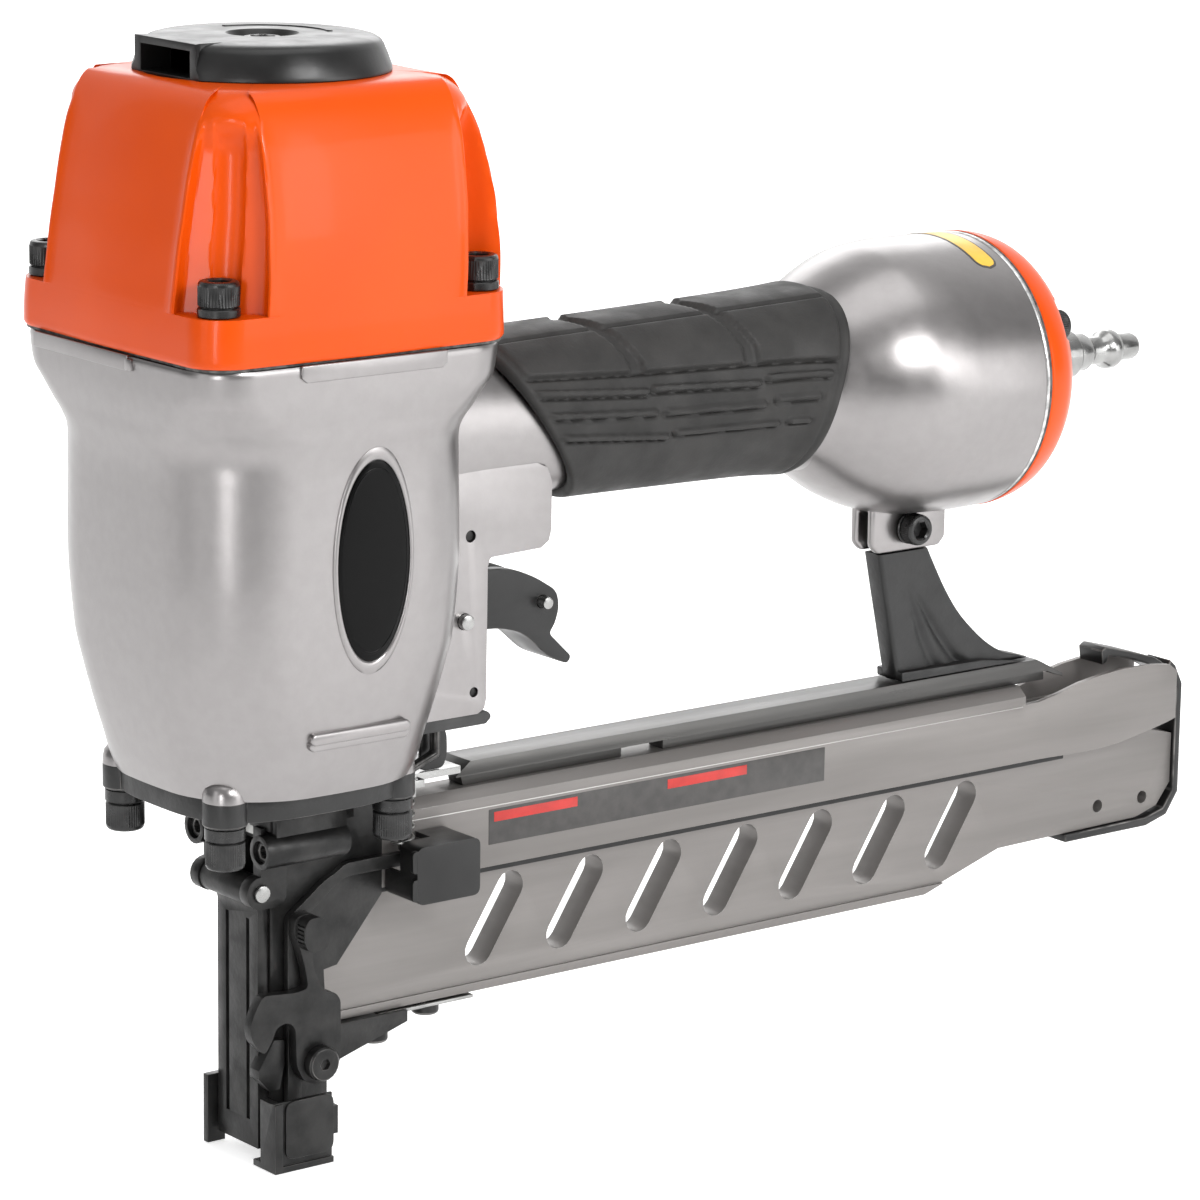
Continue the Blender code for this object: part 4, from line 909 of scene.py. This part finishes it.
def build_tail_cap():
    """The orange end cap with its three screw seats, and the air plug."""
    rim = [(230.3, 37.4), (230.7, 37.75)]
    dome = [(231.6, 37.7), (233.5, 37.4), (237.5, 36.2), (241.5, 33.4), (245, 29), (248, 22.6)]
    dome += [(250, 14.4), (250.5, 8), (250.6, 3)]
    fine = rim + [(x, curve_table(dome, x)[0]) for x in steps_between(231.6, 250.2, 36)] + [(250.6, 6.5)]
    cuts = [revolve(*TAIL_AXIS, [(225, 33), (233, 32.5), (243, 18)], 48)]
    cuts.append(rod(*TAIL_AXIS, 6.4, 240, 256, 40))
    seats = []
    for angle in TAIL_SCREW_ANGLES:
        out = (math.cos(angle), math.sin(angle))
        y, z = TAIL_SCREW_RADIUS * out[0], TAIL_Z + TAIL_SCREW_RADIUS * out[1]
        pocket = []
        for a, b in circle((0, 0), 6.2, 32):
            push = 14 if a * out[0] + b * out[1] > 0 else 0
            pocket.append((y + a + out[0] * push, z + b + out[1] * push))
        cuts.append(prism(pocket, "X", 239.2, 256))
        seats.append((rod("X", (y, z), 6, 230.4, 239.5, 24), "UNION"))
        seats.append((rod("X", (y, z), 2.3, 225, 256, 16), "DIFFERENCE"))
    solid("tail_cap", "orange_gloss", revolve(*TAIL_AXIS, fine, 96), cut=cuts, late=seats, bevel=0.5,
          segments=3, replaces=["end_cap"], sharp=40)
    plug = [(241, 5.9), (251.2, 5.9), (251.2, 7.2), (251.6, 7.5), (261.4, 7.5), (262, 7.1), (262.2, 6.2)]
    plug += [(262.8, 6.2), (263, 6.7), (270.6, 6.7), (271.6, 6), (272.2, 5.2), (276, 5.2), (277.4, 4.4)]
    plug += [(278.2, 3.9), (282, 3.9), (283, 4.4), (284, 5.3), (284.8, 5.5), (286.6, 5.5), (287.6, 5.1)]
    plug += [(288.8, 3.8), (294.4, 3.7), (295.4, 3.3), (295.6, 3), (295.6, 2.2), (243, 2.2), (243, 2.6)]
    plug = revolve(*TAIL_AXIS, plug + [(241, 3)], 64, loop=True)
    shell("plug_body", "bright_steel", plug, ["air_plug"], 30)


def build_arm():
    """The support arm: a flared blade with a Y of shallow scoops, its tongue and its foot."""
    left = [(90.3, 208.2), (97, 206.7), (107, 204.6), (117, 202.4), (126.6, 200.4)]
    right = [(90.3, 257.6), (91.6, 253.4), (93.2, 247.6), (96.8, 241.3), (101.4, 235.8)]
    right += [(107, 230.3), (113.5, 225.6), (121.4, 221), (126.6, 218.2)]
    rings = []
    for z in [90.3, 90.9] + steps_between(91.6, 126.4, 44) + [126.6]:
        x0, x1 = curve_table(left, z)[0], curve_table(right, z)[0]
        half = 2.6 if z in (90.3, 126.6) else 3.4
        rib = 211 + (117 - z) * 0.55 + max(0, 104 - z) ** 2 * 0.012
        spread = 0.35 + max(0, 117 - z) * 0.07
        depth = 1.3 * smoothstep(117.5, 100, z) * (1 - smoothstep(0, 3, 93 - z))
        front = []
        for x in steps_between(x0, x1, 60):
            y = half - round_off(min(x - x0, x1 - x) / 1.2)
            right_scoop = hump(x - rib - spread * 2.2, spread * 1.3)
            left_scoop = 0.75 * hump(x - rib + spread * 2, spread * 1.2)
            front.append((x, y - depth * (right_scoop + left_scoop), z))
        rings.append([(x, -y, z) for x, y, z in front] + [(x, y, z) for x, y, z in reversed(front)])
    shell("arm_blade", "black_cast", skin(rings), ["support_arm"], 60, "black_satin")
    tongue = [(201.6, 125), (218, 125), (218, 136.4), (215, 138.2), (204, 138.2), (201.6, 136.4)]
    solid("arm_tongue", "black_cast", prism(tongue, "Y", -1.9, 1.9),
          cut=[rod("Y", ARM_BOLT, 2.7, -20, 20, 24)], bevel=0.3, slot="black_satin")
    foot = prism([(208.2, 90.3), (252, 90.3), (238, 92.6), (208, 93)], "Y", -5.4, 5.4)
    solid("arm_foot", "black_cast", foot, bevel=0.5, slot="black_satin")


PLATE_X, PLATE_HALF_X, PLATE_HALF_Y, PLATE_POWER = 0.4, 31.2, 30.4, 0.62
PLATE_TOP = 96.7


def build_base():
    """The black plate under the barrel with its screw bosses, and the casting's foot above it."""
    outline = []
    for c, s in circle((0, 0), 1, 96):
        x = PLATE_X + PLATE_HALF_X * math.copysign(abs(c) ** PLATE_POWER, c)
        outline.append((x, PLATE_HALF_Y * math.copysign(abs(s) ** PLATE_POWER, s)))
    bosses = [revolve("Z", at, [(90.4, 5.2), (90.9, 5.6), (PLATE_TOP, 5.6)], 40) for at in BASE_SCREWS]
    slot = box((-3.4, -0.6), (-6.1, 6.1), (85, 100))
    solid("foot_plate", "black_cast", prism(outline, "Z", 91.4, PLATE_TOP), add=bosses, cut=[slot], bevel=0.5,
          segments=3, slot="black_steel", replaces=["base_plate"], edge="black_edge")
    dome = [(96.75, 5.6), (98.6, 5.5), (100.2, 5.1), (101.4, 4.1), (102, 2.4), (102.2, 0.6)]
    for number, at in enumerate(BASE_SCREWS, 1):
        shell(f"casting_pad_{number}", "cast_silver", revolve("Z", at, dome, 48), sharp=50)
    skirt = []
    for z, grow in ((96.75, 0), (98.2, 0), (99.4, -0.5), (101, -1.6)):
        wide, deep = 1 + grow / PLATE_HALF_X, 1 + grow / PLATE_HALF_Y
        skirt.append([(PLATE_X + (x - PLATE_X) * wide, y * deep, z) for x, y in outline])
    solid("casting_skirt", "cast_silver", skin(skirt), cut=[floor_hole()], bevel=0, sharp=50)


# Magazine

COVER_HALF = 7.5


def build_magazine_cover():
    """The grey guide with its two flared wings, and a label without lettering on its near side."""
    section = [(-COVER_HALF, 61.6), (COVER_HALF, 61.6), (COVER_HALF, 80.4), (4.7, 83), (-4.7, 83)]
    section.append((-COVER_HALF, 80.4))
    # x, inner and outer half width, lower and upper edge of a wing
    rows = [(249.5, 5.95, COVER_HALF, 61.6, 78), (258, 6, 7.55, 61.6, 78.3)]
    rows += [(264, 6.4, 8, 61.6, 79.6), (272, 7, 8.6, 61.6, 81.8)]
    rows += [(280, 7.5, 9.1, 61.8, 83.2), (288, 7.8, 9.4, 62.6, 83.9)]
    rows += [(300, 8, 9.6, 64.8, 83.6), (306, 8, 9.6, 66, 82.8), (309, 8, 9.6, 66.8, 80.6)]
    wings = []
    for side in (-1, 1):
        rings = []
        for x, near, far, low, top in rows:
            rings.append([(x, side * y, z) for y, z in ((near, low), (far, low), (far, top), (near, top))])
        wings.append(skin(rings))
    inside = box((20, 320), (-5.95, 5.95), (50, 78.2))
    solid("magazine_cover", "magazine_grey", prism(section, "X", 31.8, 252.5), add=wings, cut=[inside],
          bevel=0.35, replaces=["magazine_guide"], edge="magazine_wear_and_highlight")
    for side, tag in ((-1, "near"), (1, "far")):
        # A near-black strip under each lower edge of the cover is painted shadow, standing for the shade in
        # the gap between the guide and the core.
        strip = box((32, 268), sorted((side * 4.2, side * 7.1)), (60.2, 61.7))
        solid(f"cover_painted_shadow_{tag}", "painted_shadow_black", strip, bevel=0.2, slot="magazine_grey")
        # A thin lighter strip along the crease near the top of each side is a painted highlight.
        crease = box((32.2, 251.5), sorted((side * 7.3, side * 7.62)), (77.5, 77.8))
        solid(f"cover_crease_highlight_{tag}", "magazine_wear_and_highlight", crease, bevel=0.1, slot="magazine_grey")
    label = box((66, 179), (-7.66, -7.2), (67.4, 76.8))
    solid("label_panel", "label_dark", label, bevel=0.15, slot="magazine_grey")
    for number, x in enumerate((67.6, 124.6), 1):
        bar = box((x, x + 27), (-7.74, -7.3), (73.4, 76))
        solid(f"label_bar_{number}", "label_red", bar, bevel=0.05, slot="magazine_grey")


def build_rail():
    low, top = 86.2, 90
    shape = [(57, low), (57, 86.6), (61.6, top), (258, top), (268, 84.8), (268, 83.8), (262, low)]
    web = prism([(61, 83.1), (263, 83.1), (263, 86.4), (60, 86.4)], "Y", -3, 3)
    window = box((112.5, 126.5), (-20, 20), (82, 86.25))
    solid("rail_bar", "rail_black", prism(shape, "Y", -5.5, 5.5), add=[web], cut=[window], bevel=0.45,
          slot="black_satin", replaces=["magazine_rail"], edge="black_edge")


def capsule(low, high, half, lift):
    """A patch that lies round the top of the bell, from one angle to the other, with round ends."""
    points, faces = [], []
    steps, rows = 60, 8
    low, high = math.radians(low), math.radians(high)
    for angle in steps_between(low, high, steps + 1):
        arc = min(angle - low, high - angle) * 37.9
        wide = half * (1 - round_off(arc / half))
        for x in steps_between(221.6 - wide, 221.6 + wide, rows + 1):
            radius, centre = curve_table(TAIL, x)
            r = radius + lift
            points.append((x, -r * math.cos(angle), centre + r * math.sin(angle)))
    for i in range(steps):
        for j in range(rows):
            k = i * (rows + 1) + j
            faces.append((k, k + 1, k + rows + 2, k + rows + 1))
    return points, faces


def build_sticker():
    """A yellow capsule with a dark border that wraps the top of the bell near its rear edge."""
    layers = [("sticker_edge", "label_dark", (55.4, 124.6, 3.7, 0.06))]
    layers.append(("sticker_face", "label_yellow", (56.6, 123.4, 3.1, 0.11)))
    for name, mat, shape in layers:
        obj = mesh_object(name, capsule(*shape))
        step = obj.modifiers.new("thick", "SOLIDIFY")
        step.thickness = 0.0002
        step.offset = -1
        bake(obj)
        finish_piece(obj, mat, sharp=60, slot="orange_gloss")


# Springs, each a coil of wire built at one length

SPRINGS = [  # node, joint, body, axis, centre, coil radius, moving end, fixed end, turns, wire, travel
    ("safety_spring", "safety_lift", "frame", "Z", (36.8, -10.6), 2.6, 71.8, 87.9, 5, 0.4, 6),
    ("valve_spring", "plunger_lift", "frame", *VALVE_AXIS, 4.2, 155.4, 162.3, 3, 0.4, 3.5),
    ("head_valve_spring", "head_valve_lift", "frame", *HEAD_AXIS, 19, 224.3, 252, 4, 0.9, 4),
    ("pusher_spring", "pusher_slide", "magazine_group", "X", (0, 70.2), 1.9, 40.3, 291, 26, 0.4, 200),
]


def spring_coil(axis, centre, radius, low, high, turns, wire):
    """A helical spring, its wire round in the plane of the axis."""
    per_turn = 12 if turns > 20 else 24
    total = turns * per_turn
    rings = []
    for step in range(total + 1):
        angle = 2 * math.pi * step / per_turn
        along = low + wire + (high - low - 2 * wire) * step / total
        ring = []
        for a, b in circle((0, 0), wire, 8):
            r = radius + a
            at = (centre[0] + r * math.cos(angle), centre[1] + r * math.sin(angle))
            ring.append(place(axis, along + b, *at))
        rings.append(ring)
    return skin(rings)


def build_springs():
    for node, joint, body, axis, centre, radius, low, high, turns, wire, travel in SPRINGS:
        obj = mesh_object(f"{node}_wire", spring_coil(axis, centre, radius, low, high, turns, wire))
        finish_piece(obj, "spring_steel", [node], 60, body=body)
        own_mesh(obj)


# Nose and trigger pieces whose edges are softer than the frame's solids


def build_trigger():
    """The finger plate: a bent channel with a long nose, open along its top for the trip lever."""
    outline = [(47.5, 127), (48, 132.5), (52, 135.5), (60, 139), (68, 140), (74.4, 138.8)]
    outline += [(81, 136), (88, 131.6), (88.8, 127), (87.4, 122.8), (85.6, 120.6), (92.9, 113.6)]
    outline += [(91.6, 111.8), (86, 113.9), (77, 121.8), (71, 123.8), (64, 124.4), (52, 124.4)]
    slot = prism([(55.5, 126.6), (80, 125.4), (90, 122), (90, 145), (55.5, 145)], "Y", -3.6, 3.6)
    holes = [rod("Y", TRIGGER_PIN, 2.15, -10, 10, 24), rod("Y", (83.2, 129.3), 1.7, -10, 10, 24)]
    shape = plate(outline, 3.2, -6.6, 6.6)
    solid("trigger_plate", "black_satin", shape, cut=[slot, *holes], bevel=0.7, segments=3,
          replaces=["trigger"], edge="black_edge", body="trigger_group")


def build_latch():
    """The hooked lever that clamps the nose door, with a ridged thumb pad."""
    outline = [(0.7, 61.2), (5, 61.6), (8, 58.8), (8.3, 53.1), (5.6, 51), (6.1, 46.6), (9.4, 40.3)]
    outline += [(12.4, 39.7), (14.2, 37.5), (14.2, 22), (12.2, 17.6), (7.6, 16.2), (3, 18), (0.9, 22.4)]
    outline += [(0.6, 31.8), (-0.6, 33.6), (-2.3, 34.2), (-5.2, 33.5), (-6.3, 30.5), (-8.8, 26.9)]
    outline += [(-12.4, 31), (-13.1, 34.9), (-11.7, 38.4), (-9.2, 42.4), (0.6, 41.5), (4.4, 42)]
    outline += [(3.6, 47), (2.1, 52.3), (0.2, 56.5)]
    thumb = [(2.4, 52.4), (6.6, 52.4), (8.2, 54), (8.2, 58.6), (5.8, 61.4), (2.2, 61.2)]
    thumb += [(0.9, 59.4), (0.9, 54.6)]
    pad = plate(thumb, 1.4, -19.4, -12.8)
    teeth = [box((-0.2, 1.5), (-18.8, -15.9), (z, z + 0.5)) for z in (54.6, 55.7, 56.8, 57.9, 59)]
    hole = rod("Y", (7.6, 22.2), 2.2, -25, -5, 24)
    shape = plate(outline, 1.5, -15.6, -12.6)
    solid("latch_hook", "black_steel", shape, add=[pad], cut=[hole, *teeth], bevel=0.45, segments=3,
          replaces=["latch_lever"], edge="black_edge", body="latch_group")


def build_contact():
    """The work contact: a flanged shoe with a raised rounded pad, and the link up to the safety rod."""
    link = [(0.6, -3), (4.6, -3), (4.6, 58.5), (14.5, 66), (18, 68), (39.4, 68), (39.4, 71.4)]
    link += [(18, 71.4), (15.2, 69.4), (12, 68.2), (0.6, 60)]
    back = box((-8.8, 8.8), (-19.6, -18.8), (-3, 15.2))
    front = box((-8.8, -6.6), (-20.4, -13.6), (-3, 15))
    low = box((-8.8, 8.8), (-20.4, -10.4), (-3, -1.4))
    shoe = [(-5.6, 0.2), (8.8, 0.2), (8.8, 15.2), (-5.6, 15.2)]
    pad = plate(shoe, 2.6, -20.4, -19.2)
    yoke = [box((0.6, 15.8), (-12.2, -10.2), (1, 8.4)), box((14.4, 15.8), (-12.2, 12.2), (1, 8.4))]
    yoke += [box((-8.8, 15.8), (10.2, 12.2), (1, 8.4)), box((-8.8, -3.6), (10.2, 12.2), (-3, 15))]
    arms = [front, low, pad, plate(link, 2, -12.2, -10.2), *yoke]
    solid("contact_shoe", "black_steel", back, add=arms, bevel=0.3,
          replaces=["work_contact"], edge="black_edge", body="safety_group")


def build_cover():
    """A folded sheet box over the end of the safety link, with two tabs on its front edge."""
    outline = [(33.2, 60), (52.7, 60), (52.7, 75), (33.2, 75)]
    sheet = plate(outline, 2.2, -22, -8)
    hollow = box((34.4, 51.3), (-20.8, 0), (50, 73.6))
    way = box((20, 42.5), (-14.4, 0), (67, 90))
    tabs = []
    for low, high in ((68.4, 74.2), (61, 66.8)):
        tab = [(31.8, low), (36, low), (36, high), (31.8, high)]
        tabs.append(plate(tab, 1.2, -21.95, -20.7))
    solid("link_cover", "black_satin", sheet, add=tabs, cut=[hollow, way], bevel=0.5, segments=3,
          replaces=["safety_cover"], edge="black_edge")


def build_rod_guard():
    """A pressed channel under the trigger housing that shields the safety rod's upper bend."""
    side = [(44.4, 90.3), (51.4, 90.3), (52.6, 94), (52.4, 99.4), (50.4, 101.9), (44.4, 101.9)]
    plates = [plate(side, 1.6, *sorted((sy * 6.4, sy * 7.6))) for sy in (-1, 1)]
    back = prism([(49.2, 100.7), (50.6, 100.7), (50.2, 101.9), (44.4, 101.9), (44.4, 100.7)], "Y", -7, 7)
    solid("rod_guard", "black_satin", back, add=plates, bevel=0.25, edge="black_edge")


def dress_frame():
    """Materials and rounded edges for the CAD nodes, including those that a visual piece stands for."""
    for node in nodes:
        if node in DRESS:
            mat, bevel = DRESS[node]
            dress(node, mat, bevel, EDGES.get(mat))
        elif "spring" in node or node in ("driver_blade", "pusher"):
            dress(node, "spring_steel", 0)
        elif node in ("bumper", "piston_ring", "head_valve"):
            dress(node, "bumper_rubber", 0.3)
        elif node in BRIGHT:
            dress(node, "bright_steel", 0.3)
        else:
            dress(node, "black_steel", edge="black_edge")


DRESS = {  # material and edge radius of the CAD nodes that are not plain black steel
    "cap_gasket": ("gasket", 0),
    "badge": ("badge_black", 0),
    "grip_sleeve": ("grip_rubber", 0.6),
    "exhaust_deflector": ("black_satin", 0.5),
    "end_cap": ("orange_gloss", 0.4),
    "air_plug": ("bright_steel", 0.25),
    "support_arm": ("black_cast", 0.8),
    "magazine_rail": ("black_satin", 0.5),
    "rear_band": ("black_satin", 0.4),
    "magazine_latch": ("black_satin", 0.4),
    "magazine_core": ("magazine_grey", 0.35),
    "magazine_guide": ("magazine_grey", 0.35),
    "boss_pad": ("bumper_rubber", 0.5),
    "body_casting": ("cast_silver", 0),
    "cylinder_cap": ("orange_gloss", 0),
}
EDGES = {"black_satin": "black_edge", "black_cast": "black_edge", "magazine_grey": "magazine_wear_and_highlight"}
BRIGHT = ("trigger_pin", "trip_pin", "hinge_pin", "rail_bracket", "bottom_strip", "cylinder_sleeve", "piston")
BRIGHT += ("valve_housing", "valve_plunger")
MATS = {name: look(name, *row) for name, row in LOOKS.items()}
SMOOTH = shade_node_group()
set_camera()
set_lights()
set_world()
make_floor()
dress_frame()
build_cap()
build_barrel()
build_badge()
build_handle()
build_grip()
build_screws()
build_deflector()
build_tail_cap()
build_arm()
build_base()
build_magazine_cover()
build_rail()
build_sticker()
build_trigger()
build_latch()
build_contact()
build_cover()
build_rod_guard()
build_springs()
